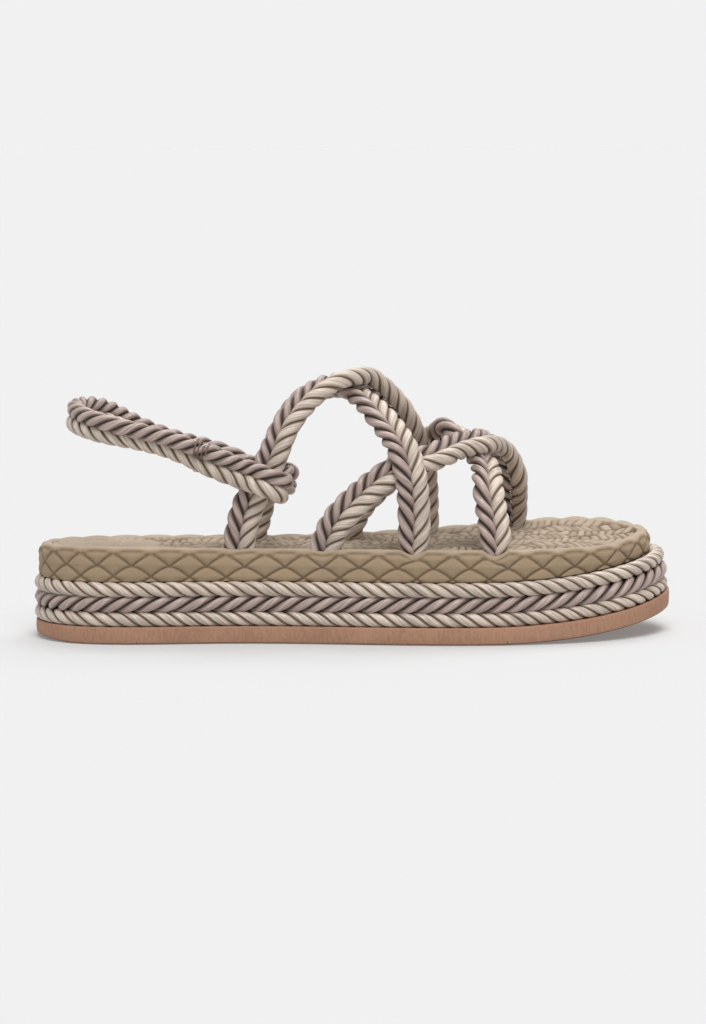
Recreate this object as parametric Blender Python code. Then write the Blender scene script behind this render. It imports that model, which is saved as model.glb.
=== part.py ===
"""Rope-strap espadrille sandal, right shoe, modelled as the pieces that a maker puts together.

X runs from heel to toe, Y from the lateral to the medial side, and Z up from the floor.
Tables and sizes are in millimetres, and meshes are built in metres. In the tables, "along" is the
distance from the back of the heel and "across" is Y.
"""

import bmesh
import bpy
import numpy as np

MM = 0.001

# Driving sizes
ALONG_MIDDLE = 129.3  # the along value that lies at X = 0
GAP = 0.3  # clearance between neighbouring pieces
OUTSOLE_THICKNESS = 6.9
LOWER_CORD_RADIUS = 2.6
MIDDLE_CORD_RADIUS = 3.0
UPPER_CORD_RADIUS = 2.6
BAND_ANGLES = (-108, -66, -22, 22, 66, 108)  # degrees round one cord of a two-cord band
BAND_WAIST = 0.45  # thickness between the two cords, as a share of a cord's
STRAP_CORD_RADIUS = 3.4
STRAP_CORD_SPACING = 6.7
HEEL_CORD_RADIUS = 3.25
HEEL_CORD_SPACING = 6.4

# Toe spring: the sole lifts ahead of a slanting flex line
SPRING_HEIGHT = 9.5
SPRING_START = 172.0
SPRING_SKEW = 0.22
SPRING_END = 258.0

# Outline of the foxing cords' outer face: name, along, across
OUTLINE = [
    ("heel back", 0.0, -9.0),
    ("heel lateral corner", 7.5, -32.0),
    ("heel lateral", 27.0, -43.0),
    ("waist lateral", 80.0, -40.8),
    ("ball lateral", 158.0, -46.5),
    ("toe lateral", 208.0, -41.0),
    ("toe lateral corner", 243.0, -21.5),
    ("toe tip", 256.4, 7.0),
    ("toe medial corner", 246.5, 32.0),
    ("ball medial", 195.0, 46.0),
    ("arch medial", 112.0, 31.5),
    ("heel medial", 40.0, 26.8),
    ("heel medial corner", 9.0, 13.5),
]

# Outsole edge, measured inwards from the cords' outline: along, inset
OUTSOLE_INSET = [(0.0, 0.7), (60.0, 0.4), (170.0, 0.0), (215.0, -1.0), (258.0, -2.2)]
OUTSOLE_EDGE_ROUNDING = 1.0
OUTSOLE_BULGE = 0.3  # how far the edge stands out at half its height
OUTSOLE_TOP_EASE = 0.5  # how far the top edge is drawn in

# Footbed wall, measured inwards from the cords' outline: along, inset
FOOTBED_INSET = [(0.0, 1.4), (50.0, 2.6), (150.0, 3.0), (210.0, 3.8), (258.0, 5.4)]

# Footbed rim height: along, lateral side, medial side
FOOTBED_RIM = [
    (0.0, 38.2, 36.7),
    (30.0, 38.4, 36.6),
    (75.0, 37.6, 36.4),
    (130.0, 37.4, 37.0),
    (180.0, 37.2, 39.5),
    (222.0, 37.0, 42.4),
    (240.0, 37.7, 42.4),
    (258.0, 40.8, 41.4),
]
FOOTBED_DIAMONDS = 42
DIAMOND_ROWS = (0.1, 0.5, 0.9)  # heights of the braid's crossing rows, as shares of the wall
DIAMOND_DEPTH = 0.9
FOOTBED_TOP = [(2.2, 0.0), (8.0, 0.3), (17.0, 1.4)]  # dished top: inset from the wall, drop below the rim
RIM_MIDDLE = [(0.0, -9.0), (60.0, -7.5), (112.0, -5.0), (190.0, 0.0), (258.0, 7.0)]  # along, across
RIM_BLEND = 60.0  # width over which the rim goes from its lateral to its medial height

# Straps' form over the foot: along, height at the top, lateral edge, medial edge
FOOT_FORM = [
    (60.0, 112.0, -30.0, 20.4),
    (85.0, 109.0, -31.0, 20.6),
    (128.0, 98.0, -35.0, 25.0),
    (158.0, 83.5, -37.0, 31.0),
    (187.0, 68.5, -35.0, 35.6),
    (215.0, 57.0, -27.5, 34.0),
]
FOOT_FORM_BASE = 34.0
FOOT_FORM_ROUNDNESS = 2.25
FOOT_FORM_EDGE = 2.0  # degrees from its edges within which the form's normal stays the same
NORMAL_REACH = 0.5  # step over which the form's normal is measured

# Each strap: turn over the foot from the lateral (0) to the medial (180) edge, along, lift off the form
STRAPS = {
    "rear_over": [
        (0, 82.9, 0.0), (10, 85.7, 0.0), (28, 95.7, 0.0), (42, 101.4, 0.5), (56, 108.8, 2.4),
        (73, 118.9, 4.4), (88, 127.3, 5.6), (101, 134.6, 6.6), (108, 143.4, 4.4), (120, 151.6, 0.4),
        (134, 155.4, 0.0), (155, 157.8, 0.0), (180, 158.4, 0.0),
    ],
    "rear_under": [
        (0, 152.9, 0.0), (23, 152.9, 3.0), (40, 149.6, 5.7), (60, 141.1, 2.5), (74, 135.3, 0.7),
        (90, 128.3, 0.0), (115, 114.0, 0.0), (145, 99.4, 0.0), (171, 89.8, 0.0), (180, 86.6, 0.0),
    ],
    "front_over": [
        (0, 117.0, 0.0), (9.5, 122.2, 0.0), (18, 130.0, 0.0), (31, 142.2, 0.0), (43, 153.4, 0.0),
        (56, 163.3, 1.0), (68, 169.5, 2.8), (80, 176.5, 5.8), (92, 181.2, 6.7), (104, 185.4, 7.0),
        (113, 189.5, 5.9), (122, 193.4, 2.9), (135, 194.9, 0.0), (155, 195.1, 0.0), (180, 194.8, 0.0),
    ],
    "front_under": [
        (0, 185.9, 0.0), (17, 185.2, 0.0), (36, 183.5, 0.0), (61, 182.7, 0.0), (75, 181.0, 0.0),
        (86, 176.3, 0.4), (97, 169.2, 3.6), (109, 165.6, 4.3), (122, 163.4, 4.5), (141, 154.4, 5.6),
        (157, 143.0, 2.5), (170, 130.8, 0.5), (180, 125.6, 0.0),
    ],
}
# How far a strap turns its toe side out, in degrees: turn over the foot, twist
STRAP_TWIST = {
    "rear_over": [(0, 0), (14, 0), (38, 32), (60, 32), (80, 42), (105, 38), (130, 0)],
    "rear_under": [(0, 0), (95, 0), (112, 28), (150, 28), (166, 0)],
    "front_over": [(0, 0), (8, 0), (22, 22), (45, 22), (75, 0)],
}
STRAP_RINGS = 32
STRAP_FOOT_DEPTH = 5.5  # how far the strap ends reach below the foot form's base
POCKET_RINGS = 4

# Heel strap between its two loops: along, across, height of its middle, outward lean of its upper cord
HEEL_STRAP = [
    (76.0, -37.0, 71.0, 6.0),
    (57.0, -35.6, 78.8, 30.0),
    (40.0, -32.6, 82.8, 36.0),
    (28.0, -27.0, 85.1, 16.0),
    (19.8, -18.4, 87.2, 2.0),
    (16.6, -7.5, 88.6, -4.0),
    (19.8, 3.6, 89.2, 4.0),
    (28.0, 12.6, 87.4, 20.0),
    (40.0, 20.0, 82.2, 36.0),
    (57.0, 25.0, 75.1, 32.0),
    (76.0, 27.0, 67.6, 10.0),
]
HEEL_CENTRE = (76.0, -6.0)  # along and across of the point that the heel strap leans away from
HEEL_LOOP_HEIGHTS = (64.2, 61.0)  # where the lateral and the medial loop go round their straps
HEEL_LOOP_TURN = 8.0  # degrees that each loop turns from square across its strap
HEEL_LOOP_EASE = 0.9  # how much farther the fold reaches, for that turn
HEEL_LOOP_GAP = 0.55  # clearance between a loop and the strap inside it
HEEL_TAIL_ALONG = 66.0  # where the loop's tail is sewn back on the strap
HEEL_TAIL_SPACING = 8.0  # from the middle of the strap to the middle of its tail
HEEL_STRAP_RINGS = 58

CORD_POINTS = 60
SOLE_POINTS = 72
CURVE_POINTS = 2000  # points that a curve is measured by before it is divided evenly
CHORD_POWER = 0.75  # how a curve's parameter grows with the distance between its points
SHARP_ANGLE = 40.0

# Finishes: colour, roughness
FINISHES = {
    "crepe_rubber": ((0.34, 0.19, 0.125), 0.75),
    "platform_foam": ((0.30, 0.23, 0.17), 0.9),
    "cream_cord": ((0.61, 0.53, 0.45), 0.45),
    "taupe_cord": ((0.33, 0.26, 0.235), 0.45),
    "footbed_foam": ((0.31, 0.235, 0.15), 0.8),
    "strap_cord": ((0.47, 0.40, 0.34), 0.45),
}


def smooth(rows, at):
    """Natural cubic curve through rows of (x, values...), read at the given x values."""
    rows = np.asarray(rows, float)
    knots, values = rows[:, 0], rows[:, 1:]
    count = len(knots)
    step = np.diff(knots)
    system = np.eye(count)
    right = np.zeros_like(values)
    for i in range(1, count - 1):
        system[i, i - 1 : i + 2] = step[i - 1], 2 * (step[i - 1] + step[i]), step[i]
        right[i] = 6 * ((values[i + 1] - values[i]) / step[i] - (values[i] - values[i - 1]) / step[i - 1])
    bend = np.linalg.solve(system, right)
    at = np.atleast_1d(np.asarray(at, float))
    i = np.clip(np.searchsorted(knots, at) - 1, 0, count - 2)
    width = step[i][:, None]
    before, after = (at - knots[i])[:, None], (knots[i + 1] - at)[:, None]
    curved = (bend[i] * after**3 + bend[i + 1] * before**3) / (6 * width)
    return (
        curved
        + (values[i] / width - bend[i] * width / 6) * after
        + (values[i + 1] / width - bend[i + 1] * width / 6) * before
    )


def outline(count):
    """Evenly spaced points (along, across) of the closed curve through OUTLINE, starting at the heel."""
    points = np.array([row[1:] for row in OUTLINE])
    wrapped = np.vstack([points[-4:], points, points[:5]])
    chord = np.linalg.norm(np.diff(wrapped, axis=0), axis=1) ** CHORD_POWER
    at = np.concatenate([[0], np.cumsum(chord)])
    fine = smooth(np.column_stack([at, wrapped]), np.linspace(at[4], at[-5], CURVE_POINTS))
    run = np.concatenate([[0], np.cumsum(np.linalg.norm(np.diff(fine, axis=0), axis=1))])
    even = np.linspace(0, run[-1], count, endpoint=False)
    return np.column_stack([np.interp(even, run, fine[:, k]) for k in (0, 1)])


def inset(loop, by):
    """An anticlockwise loop moved inwards by a distance, one for all its points or one for each."""
    along = np.roll(loop, -1, axis=0) - np.roll(loop, 1, axis=0)
    along /= np.linalg.norm(along, axis=1)[:, None]
    inward = np.column_stack([-along[:, 1], along[:, 0]])
    return loop + inward * np.broadcast_to(by, len(loop))[:, None]


def spring(loop):
    """Height that the toe spring adds at points (along, across, ...)."""
    past = loop[:, 0] + SPRING_SKEW * loop[:, 1] - SPRING_START
    return SPRING_HEIGHT * np.clip(past / (SPRING_END - SPRING_START), 0, None) ** 2


def placed(loop, height):
    """Points (along, across) at a height, as X, Y, Z in millimetres."""
    return np.column_stack([loop[:, 0] - ALONG_MIDDLE, loop[:, 1], np.broadcast_to(height, len(loop))])


def rim_height(loop):
    """Height of the footbed's rim beside points (along, across)."""
    lateral, medial = smooth(FOOTBED_RIM, loop[:, 0]).T
    middle = smooth(RIM_MIDDLE, loop[:, 0])[:, 0]
    share = np.clip(0.5 + (loop[:, 1] - middle) / RIM_BLEND, 0, 1)
    return lateral + (medial - lateral) * share


def material(name):
    made = bpy.data.materials.get(name)
    if made:
        return made
    colour, roughness = FINISHES[name]
    made = bpy.data.materials.new(name)
    made.use_nodes = True
    shader = made.node_tree.nodes["Principled BSDF"]
    shader.inputs["Base Color"].default_value = (*colour, 1)
    shader.inputs["Roughness"].default_value = roughness
    shader.inputs["Metallic"].default_value = 0.0
    made.diffuse_color = (*colour, 1)
    return made


def place(name, data, finish):
    """A new object in the scene with its finish."""
    made = bpy.data.objects.new(name, data)
    bpy.context.scene.collection.objects.link(made)
    data.materials.append(material(finish))
    return made


def strip_cap(mesh, ring, turned):
    """Closes a sole-shaped ring with cross strips from its lateral to its medial side."""
    count = len(ring)
    half = count // 2
    for i in range(half):
        corners = [ring[i], ring[i + 1], ring[(count - i - 1) % count], ring[-i % count]]
        corners = list(dict.fromkeys(corners))
        mesh.faces.new(corners[::-1] if turned else corners)


def flat_cap(mesh, ring, turned):
    mesh.faces.new(ring[::-1] if turned else ring)


def loft(name, rings, finish, cap=flat_cap, diamonds=()):
    """A closed solid through rings of equal count, in millimetres, listed so that they face outwards.

    Between two rings of diamonds, the faces are split along the grooves of the braid."""
    mesh = bmesh.new()
    made = [[mesh.verts.new(point * MM) for point in ring] for ring in rings]
    count = len(made[0])
    for level, (lower, upper) in enumerate(zip(made, made[1:])):
        for i in range(count):
            j = (i + 1) % count
            corners = [lower[i], lower[j], upper[j], upper[i]]
            if level not in diamonds:
                mesh.faces.new(corners)
                continue
            first = (i + level - diamonds[0]) % 2
            corners = corners[first:] + corners[:first]
            mesh.faces.new([corners[0], corners[1], corners[2]])
            mesh.faces.new([corners[2], corners[3], corners[0]])
    cap(mesh, made[0], True)
    cap(mesh, made[-1], False)
    bmesh.ops.recalc_face_normals(mesh, faces=mesh.faces)
    data = bpy.data.meshes.new(name)
    mesh.to_mesh(data)
    mesh.free()
    data.shade_smooth()
    data.set_sharp_from_angle(angle=np.radians(SHARP_ANGLE))
    return place(name, data, finish)


def band_profile(radius, spacing):
    """Section of two cords side by side, anticlockwise, as (towards the side, towards the outside)."""
    angles = np.radians(BAND_ANGLES)
    right = np.column_stack([spacing / 2 + radius * np.cos(angles), radius * np.sin(angles)])
    waist = np.array([[0.0, BAND_WAIST * radius]])
    return np.vstack([right, waist, -right, -waist])


def band_rings(path, side, outside, radius, spacing):
    section = band_profile(radius, spacing)
    return [
        point + section[:, :1] * across + section[:, 1:] * out
        for point, across, out in zip(path, side, outside)
    ]


def unit(vectors):
    return vectors / np.linalg.norm(vectors, axis=1)[:, None]


def foot_form(along, turn):
    """Point of the straps' form over the foot, with its middle line, for a turn in degrees."""
    top, lateral, medial = smooth(FOOT_FORM, along).T
    middle, half = (lateral + medial) / 2, (medial - lateral) / 2
    cosine, sine = np.cos(np.radians(turn)), np.sin(np.radians(turn))
    power = 2 / FOOT_FORM_ROUNDNESS
    across = middle - half * np.sign(cosine) * np.abs(cosine) ** power
    height = FOOT_FORM_BASE + (top - FOOT_FORM_BASE) * np.abs(sine) ** power
    return np.column_stack([along - ALONG_MIDDLE, across, height])


def foot_normal(along, turn):
    """Outward normal of the form over the foot."""
    turn = np.clip(turn, FOOT_FORM_EDGE, 180 - FOOT_FORM_EDGE)
    lengthwise = foot_form(along + NORMAL_REACH, turn) - foot_form(along - NORMAL_REACH, turn)
    round_foot = foot_form(along, turn + NORMAL_REACH) - foot_form(along, turn - NORMAL_REACH)
    return unit(np.cross(lengthwise, round_foot))


def strap_path(name, count):
    """Even points of a strap's middle line, with its side (to the toe) and outside directions."""
    turn = np.linspace(0, 180, CURVE_POINTS)
    along, lift = smooth(STRAPS[name], turn).T
    fine = foot_form(along, turn) + foot_normal(along, turn) * np.clip(lift, 0, None)[:, None]
    foot = np.array([0, 0, STRAP_FOOT_DEPTH])
    fine = np.vstack([fine[0] - foot, fine, fine[-1] - foot])
    turn = np.concatenate([[0], turn, [180]])
    along = np.concatenate([along[:1], along, along[-1:]])
    run = np.concatenate([[0], np.cumsum(np.linalg.norm(np.diff(fine, axis=0), axis=1))])
    even = np.linspace(0, run[-1], count)
    path = np.column_stack([np.interp(even, run, fine[:, k]) for k in range(3)])
    turn = np.interp(even, run, turn)
    outside = foot_normal(np.interp(even, run, along), turn)
    tangent = unit(np.gradient(path, axis=0))
    outside = unit(outside - tangent * (outside * tangent).sum(axis=1)[:, None])
    side = np.cross(tangent, outside)
    twist = np.radians(np.interp(turn, *np.transpose(STRAP_TWIST.get(name, [(0, 0)]))))[:, None]
    return path, side * np.cos(twist) + outside * np.sin(twist), outside * np.cos(twist) - side * np.sin(twist)


def heel_rows():
    """Rows (point, upward) of the heel strap between its loops, from the lateral to the medial side."""
    rows = []
    for along, across, height, lean in HEEL_STRAP:
        outward = np.array([along - HEEL_CENTRE[0], across - HEEL_CENTRE[1], 0.0])
        outward /= np.linalg.norm(outward)
        tilt = np.radians(lean)
        upward = outward * np.sin(tilt) + np.array([0.0, 0.0, np.cos(tilt)])
        rows.append(np.concatenate([[along - ALONG_MIDDLE, across, height], upward]))
    return rows


def heel_loop(strap, end, last, before):
    """Rows of the heel strap's loop round a strap, at its lateral (0) or medial (-1) end, out to in.

    The two heel strap rows next to the loop place its tail."""
    path, side, outside = strap_path(strap, CURVE_POINTS)
    at = np.flatnonzero(path[:, 2] > HEEL_LOOP_HEIGHTS[end])[end]
    upright = np.cross(outside[at], side[at])
    upright *= np.sign(upright[2])
    turn = np.radians(HEEL_LOOP_TURN)
    forward = side[at] * np.cos(turn) + upright * np.sin(turn)
    upward = upright * np.cos(turn) - side[at] * np.sin(turn)
    reach = STRAP_CORD_RADIUS + HEEL_LOOP_GAP + HEEL_CORD_RADIUS
    front = path[at] + forward * STRAP_CORD_SPACING / 2
    rear = path[at] - forward * STRAP_CORD_SPACING / 2
    points = [rear + outside[at] * reach]
    for angle in np.radians([90, 45, 0, -45, -90]):
        forth = (reach + HEEL_LOOP_EASE) * np.cos(angle)
        points.append(front + outside[at] * reach * np.sin(angle) + forward * forth)
    points.append(rear - outside[at] * reach)
    rows = [np.concatenate([point, upward]) for point in points]
    share = (HEEL_TAIL_ALONG - ALONG_MIDDLE - last[0]) / (before[0] - last[0])
    tail = last + (before - last) * share
    tail[:3] -= outside[at] * HEEL_TAIL_SPACING
    return rows + [tail]


def heel_strap_path(count):
    """Even points of the heel strap's middle line, with its upward and outward directions."""
    rows = heel_rows()
    lateral = heel_loop("rear_over", 0, rows[0], rows[1])
    medial = heel_loop("rear_under", -1, rows[-1], rows[-2])
    rows = np.array(lateral[::-1] + rows + medial)
    chord = np.linalg.norm(np.diff(rows[:, :3], axis=0), axis=1) ** CHORD_POWER
    at = np.concatenate([[0], np.cumsum(chord)])
    fine = smooth(np.column_stack([at, rows]), np.linspace(0, at[-1], CURVE_POINTS))
    run = np.concatenate([[0], np.cumsum(np.linalg.norm(np.diff(fine[:, :3], axis=0), axis=1))])
    even = np.linspace(0, run[-1], count)
    points = np.column_stack([np.interp(even, run, fine[:, k]) for k in range(6)])
    path, upward = points[:, :3], points[:, 3:]
    tangent = unit(np.gradient(path, axis=0))
    upward = unit(upward - tangent * (upward * tangent).sum(axis=1)[:, None])
    return path, upward, np.cross(upward, tangent)


def make_outsole():
    loop = outline(SOLE_POINTS)
    edge = smooth(OUTSOLE_INSET, loop[:, 0])[:, 0]
    levels = [
        (OUTSOLE_EDGE_ROUNDING, 0.0),
        (0.0, OUTSOLE_EDGE_ROUNDING),
        (-OUTSOLE_BULGE, OUTSOLE_THICKNESS / 2),
        (0.0, OUTSOLE_THICKNESS - OUTSOLE_TOP_EASE),
        (OUTSOLE_TOP_EASE, OUTSOLE_THICKNESS),
    ]
    rings = []
    for more, height in levels:
        ring = inset(loop, edge + more)
        rings.append(placed(ring, height + spring(ring)))
    loft("outsole", rings, "crepe_rubber", strip_cap)


def cord_levels():
    """Name, finish, radius and height of the middle of each foxing cord, from the outsole up."""
    levels = []
    floor = OUTSOLE_THICKNESS
    for name, finish, radius in (
        ("foxing_cord_lower", "cream_cord", LOWER_CORD_RADIUS),
        ("foxing_cord_middle", "taupe_cord", MIDDLE_CORD_RADIUS),
        ("foxing_cord_upper", "cream_cord", UPPER_CORD_RADIUS),
    ):
        levels.append((name, finish, radius, floor + GAP + radius))
        floor += GAP + 2 * radius
    return levels


def platform_height():
    _, _, radius, middle = cord_levels()[-1]
    return middle + radius


def make_foxing_cords():
    loop = outline(CORD_POINTS)
    for name, finish, radius, height in cord_levels():
        line = inset(loop, radius)
        line = placed(line, height + spring(line)) * MM
        curve = bpy.data.curves.new(name, "CURVE")
        curve.dimensions = "3D"
        curve.bevel_depth = radius * MM
        curve.bevel_resolution = 2
        spline = curve.splines.new("POLY")
        spline.points.add(len(line) - 1)
        spline.points.foreach_set("co", np.column_stack([line, np.ones(len(line))]).ravel())
        spline.use_cyclic_u = True
        place(name, curve, finish)


def make_midsole():
    loop = outline(SOLE_POINTS)
    ring = inset(loop, 2 * MIDDLE_CORD_RADIUS + GAP)
    lift = spring(ring)
    lower = placed(ring, OUTSOLE_THICKNESS + GAP + lift)
    upper = placed(ring, platform_height() + lift)
    loft("midsole", [lower, upper], "platform_foam", strip_cap)


def footbed_rings():
    loop = outline(2 * FOOTBED_DIAMONDS)
    wall = smooth(FOOTBED_INSET, loop[:, 0])[:, 0]
    face = inset(loop, wall)
    floor = platform_height() + GAP + spring(face)
    rim = rim_height(face)
    column = np.arange(len(loop))
    rings = [placed(face, floor)]
    for row, share in enumerate(DIAMOND_ROWS):
        groove = np.where((column + row) % 2, 0, DIAMOND_DEPTH)
        rings.append(placed(inset(loop, wall + groove), floor + (rim - floor) * share))
    for more, drop in FOOTBED_TOP:
        rings.append(placed(inset(loop, wall + more), rim - drop))
    return rings


def make_footbed(pockets):
    footbed = loft("footbed", footbed_rings(), "footbed_foam", strip_cap, diamonds=(1, 2))
    cut = footbed.modifiers.new("strap pockets", "BOOLEAN")
    cut.operation = "DIFFERENCE"
    cut.object = pockets


def make_straps():
    """The four straps joined where they cross, and the cutter for their pockets in the footbed."""
    joined = None
    pockets = []
    for name in STRAPS:
        path, side, outside = strap_path(name, STRAP_RINGS)
        rings = band_rings(path, side, outside, STRAP_CORD_RADIUS, STRAP_CORD_SPACING)
        if joined is None:
            joined = loft("upper_straps", rings, "strap_cord")
        else:
            strap = loft("strap_" + name, rings, "strap_cord")
            hide(strap)
            join = joined.modifiers.new(name, "BOOLEAN")
            join.operation = "UNION"
            join.object = strap
        for end in (slice(0, POCKET_RINGS), slice(None, -POCKET_RINGS - 1, -1)):
            pockets.append(pocket_rings(name, end))
    return pockets


def pocket_rings(name, end):
    """Rings of the clearance round one strap end, from below its foot up."""
    path, side, outside = (part[end] for part in strap_path(name, STRAP_RINGS))
    path = path.copy()
    path[0, 2] -= GAP
    return band_rings(path, side, outside, STRAP_CORD_RADIUS + GAP, STRAP_CORD_SPACING)


def make_pocket_cutter(pockets):
    mesh = bmesh.new()
    for number, rings in enumerate(pockets):
        piece = loft(f"pocket_{number}", rings, "footbed_foam")
        mesh.from_mesh(piece.data)
        bpy.data.objects.remove(piece)
    data = bpy.data.meshes.new("strap_pockets")
    mesh.to_mesh(data)
    mesh.free()
    return hide(place("strap_pockets", data, "footbed_foam"))


def hide(helper):
    helper.hide_render = True
    helper.display_type = "WIRE"
    return helper


def make_heel_strap():
    path, upward, outward = heel_strap_path(HEEL_STRAP_RINGS)
    rings = band_rings(path, upward, outward, HEEL_CORD_RADIUS, HEEL_CORD_SPACING)
    loft("heel_strap", rings, "strap_cord")


def main():
    for leftover in list(bpy.data.objects):
        bpy.data.objects.remove(leftover)
    make_outsole()
    make_midsole()
    make_foxing_cords()
    pockets = make_straps()
    make_footbed(make_pocket_cutter(pockets))
    make_heel_strap()


main()
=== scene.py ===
"""Looks of a rope-strap espadrille sandal, a right shoe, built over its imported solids.

X runs from heel to toe, Y from the lateral to the medial side, and Z up from the floor. The tables are
in millimetres and repeat the sizes of the solids; meshes are built in metres. In the tables, "along" is
the distance from the back of the heel and "across" is Y.
"""

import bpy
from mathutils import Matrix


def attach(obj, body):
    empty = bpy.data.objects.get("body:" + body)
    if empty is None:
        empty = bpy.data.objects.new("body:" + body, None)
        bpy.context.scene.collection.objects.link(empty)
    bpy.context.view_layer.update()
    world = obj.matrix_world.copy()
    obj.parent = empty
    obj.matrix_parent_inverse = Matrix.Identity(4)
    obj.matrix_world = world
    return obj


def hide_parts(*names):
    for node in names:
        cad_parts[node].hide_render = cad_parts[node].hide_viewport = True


bl_info = {
    "name": "Rope-strap espadrille sandal",
    "version": (1, 0, 0),
    "blender": (4, 5, 0),
    "location": "3D View > Sidebar > Sandal",
    "description": "Twisted ropes, moulded footbed, crepe outsole and stage of an espadrille sandal",
    "category": "Object",
}

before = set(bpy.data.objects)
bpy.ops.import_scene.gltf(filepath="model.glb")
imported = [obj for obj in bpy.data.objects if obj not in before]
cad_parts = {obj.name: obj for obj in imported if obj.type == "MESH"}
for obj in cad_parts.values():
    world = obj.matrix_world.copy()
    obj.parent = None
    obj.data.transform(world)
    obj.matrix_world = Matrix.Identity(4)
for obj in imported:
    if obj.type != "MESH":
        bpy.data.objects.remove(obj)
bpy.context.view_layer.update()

import math

import bpy
import numpy as np
from bpy.props import FloatProperty, FloatVectorProperty, IntProperty, PointerProperty

MM = 0.001
MERGE_DISTANCE = 1e-6  # metres
SHORTEST_EDGE = 1e-7
BODY = "root"

# Sizes shared with the solids
ALONG_MIDDLE = 129.3  # the along value that lies at X = 0
GAP = 0.3
OUTSOLE_THICKNESS = 6.9
CORDS = [  # foxing cords from the outsole up: name, slot, radius
    ("foxing_cord_lower", "cream_cord", 2.6),
    ("foxing_cord_middle", "taupe_cord", 3.0),
    ("foxing_cord_upper", "cream_cord", 2.6),
]
STRAP_CORD_RADIUS = 3.4
STRAP_CORD_SPACING = 6.7
HEEL_CORD_RADIUS = 3.25
HEEL_CORD_SPACING = 6.4
SPRING_HEIGHT = 9.5
SPRING_START = 172.0
SPRING_SKEW = 0.22
SPRING_END = 258.0

# Outline of the foxing cords' outer face: name, along, across
OUTLINE = [
    ("heel back", 0.0, -9.0),
    ("heel lateral corner", 7.5, -32.0),
    ("heel lateral", 27.0, -43.0),
    ("waist lateral", 80.0, -40.8),
    ("ball lateral", 158.0, -46.5),
    ("toe lateral", 208.0, -41.0),
    ("toe lateral corner", 243.0, -21.5),
    ("toe tip", 256.4, 7.0),
    ("toe medial corner", 246.5, 32.0),
    ("ball medial", 195.0, 46.0),
    ("arch medial", 112.0, 31.5),
    ("heel medial", 40.0, 26.8),
    ("heel medial corner", 9.0, 13.5),
]
OUTSOLE_INSET = [(0.0, 0.7), (60.0, 0.4), (170.0, 0.0), (215.0, -1.0), (258.0, -2.2)]  # along, inset
FOOTBED_INSET = [(0.0, 1.4), (50.0, 2.6), (150.0, 3.0), (210.0, 3.8), (258.0, 5.4)]  # along, inset
FOOTBED_RIM = [  # along, lateral height, medial height
    (0.0, 38.2, 36.7),
    (30.0, 38.4, 36.6),
    (75.0, 37.6, 36.4),
    (130.0, 37.4, 37.0),
    (180.0, 37.2, 39.5),
    (222.0, 37.0, 42.4),
    (240.0, 37.7, 42.4),
    (258.0, 40.8, 41.4),
]
RIM_MIDDLE = [(0.0, -9.0), (60.0, -7.5), (112.0, -5.0), (190.0, 0.0), (258.0, 7.0)]  # along, across
RIM_BLEND = 60.0
FOOTBED_DIAMONDS = 42

# Straps' form over the foot: along, height at the top, lateral edge, medial edge
FOOT_FORM = [
    (60.0, 112.0, -30.0, 20.4),
    (85.0, 109.0, -31.0, 20.6),
    (128.0, 98.0, -35.0, 25.0),
    (158.0, 83.5, -37.0, 31.0),
    (187.0, 68.5, -35.0, 35.6),
    (215.0, 57.0, -27.5, 34.0),
]
FOOT_FORM_BASE = 34.0
FOOT_FORM_ROUNDNESS = 2.25
FOOT_FORM_EDGE = 2.0
NORMAL_REACH = 0.5
STRAP_FOOT_DEPTH = 5.5

# Each strap: turn over the foot from the lateral (0) to the medial (180) edge, along, lift off the form
STRAPS = {
    "rear_over": [
        (0, 82.9, 0.0), (10, 85.7, 0.0), (28, 95.7, 0.0), (42, 101.4, 0.5), (56, 108.8, 2.4),
        (73, 118.9, 4.4), (88, 127.3, 5.6), (101, 134.6, 6.6), (108, 143.4, 4.4), (120, 151.6, 0.4),
        (134, 155.4, 0.0), (155, 157.8, 0.0), (180, 158.4, 0.0),
    ],
    "rear_under": [
        (0, 152.9, 0.0), (23, 152.9, 3.0), (40, 149.6, 5.7), (60, 141.1, 2.5), (74, 135.3, 0.7),
        (90, 128.3, 0.0), (115, 114.0, 0.0), (145, 99.4, 0.0), (171, 89.8, 0.0), (180, 86.6, 0.0),
    ],
    "front_over": [
        (0, 117.0, 0.0), (9.5, 122.2, 0.0), (18, 130.0, 0.0), (31, 142.2, 0.0), (43, 153.4, 0.0),
        (56, 163.3, 1.0), (68, 169.5, 2.8), (80, 176.5, 5.8), (92, 181.2, 6.7), (104, 185.4, 7.0),
        (113, 189.5, 5.9), (122, 193.4, 2.9), (135, 194.9, 0.0), (155, 195.1, 0.0), (180, 194.8, 0.0),
    ],
    "front_under": [
        (0, 185.9, 0.0), (17, 185.2, 0.0), (36, 183.5, 0.0), (61, 182.7, 0.0), (75, 181.0, 0.0),
        (86, 176.3, 0.4), (97, 169.2, 3.6), (109, 165.6, 4.3), (122, 163.4, 4.5), (141, 154.4, 5.6),
        (157, 143.0, 2.5), (170, 130.8, 0.5), (180, 125.6, 0.0),
    ],
}
# How far a strap turns its toe side out, in degrees: turn over the foot, twist
STRAP_TWIST = {
    "rear_over": [(0, 0), (14, 0), (38, 32), (60, 32), (80, 42), (105, 38), (130, 0)],
    "rear_under": [(0, 0), (95, 0), (112, 28), (150, 28), (166, 0)],
    "front_over": [(0, 0), (8, 0), (22, 22), (45, 22), (75, 0)],
}
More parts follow.
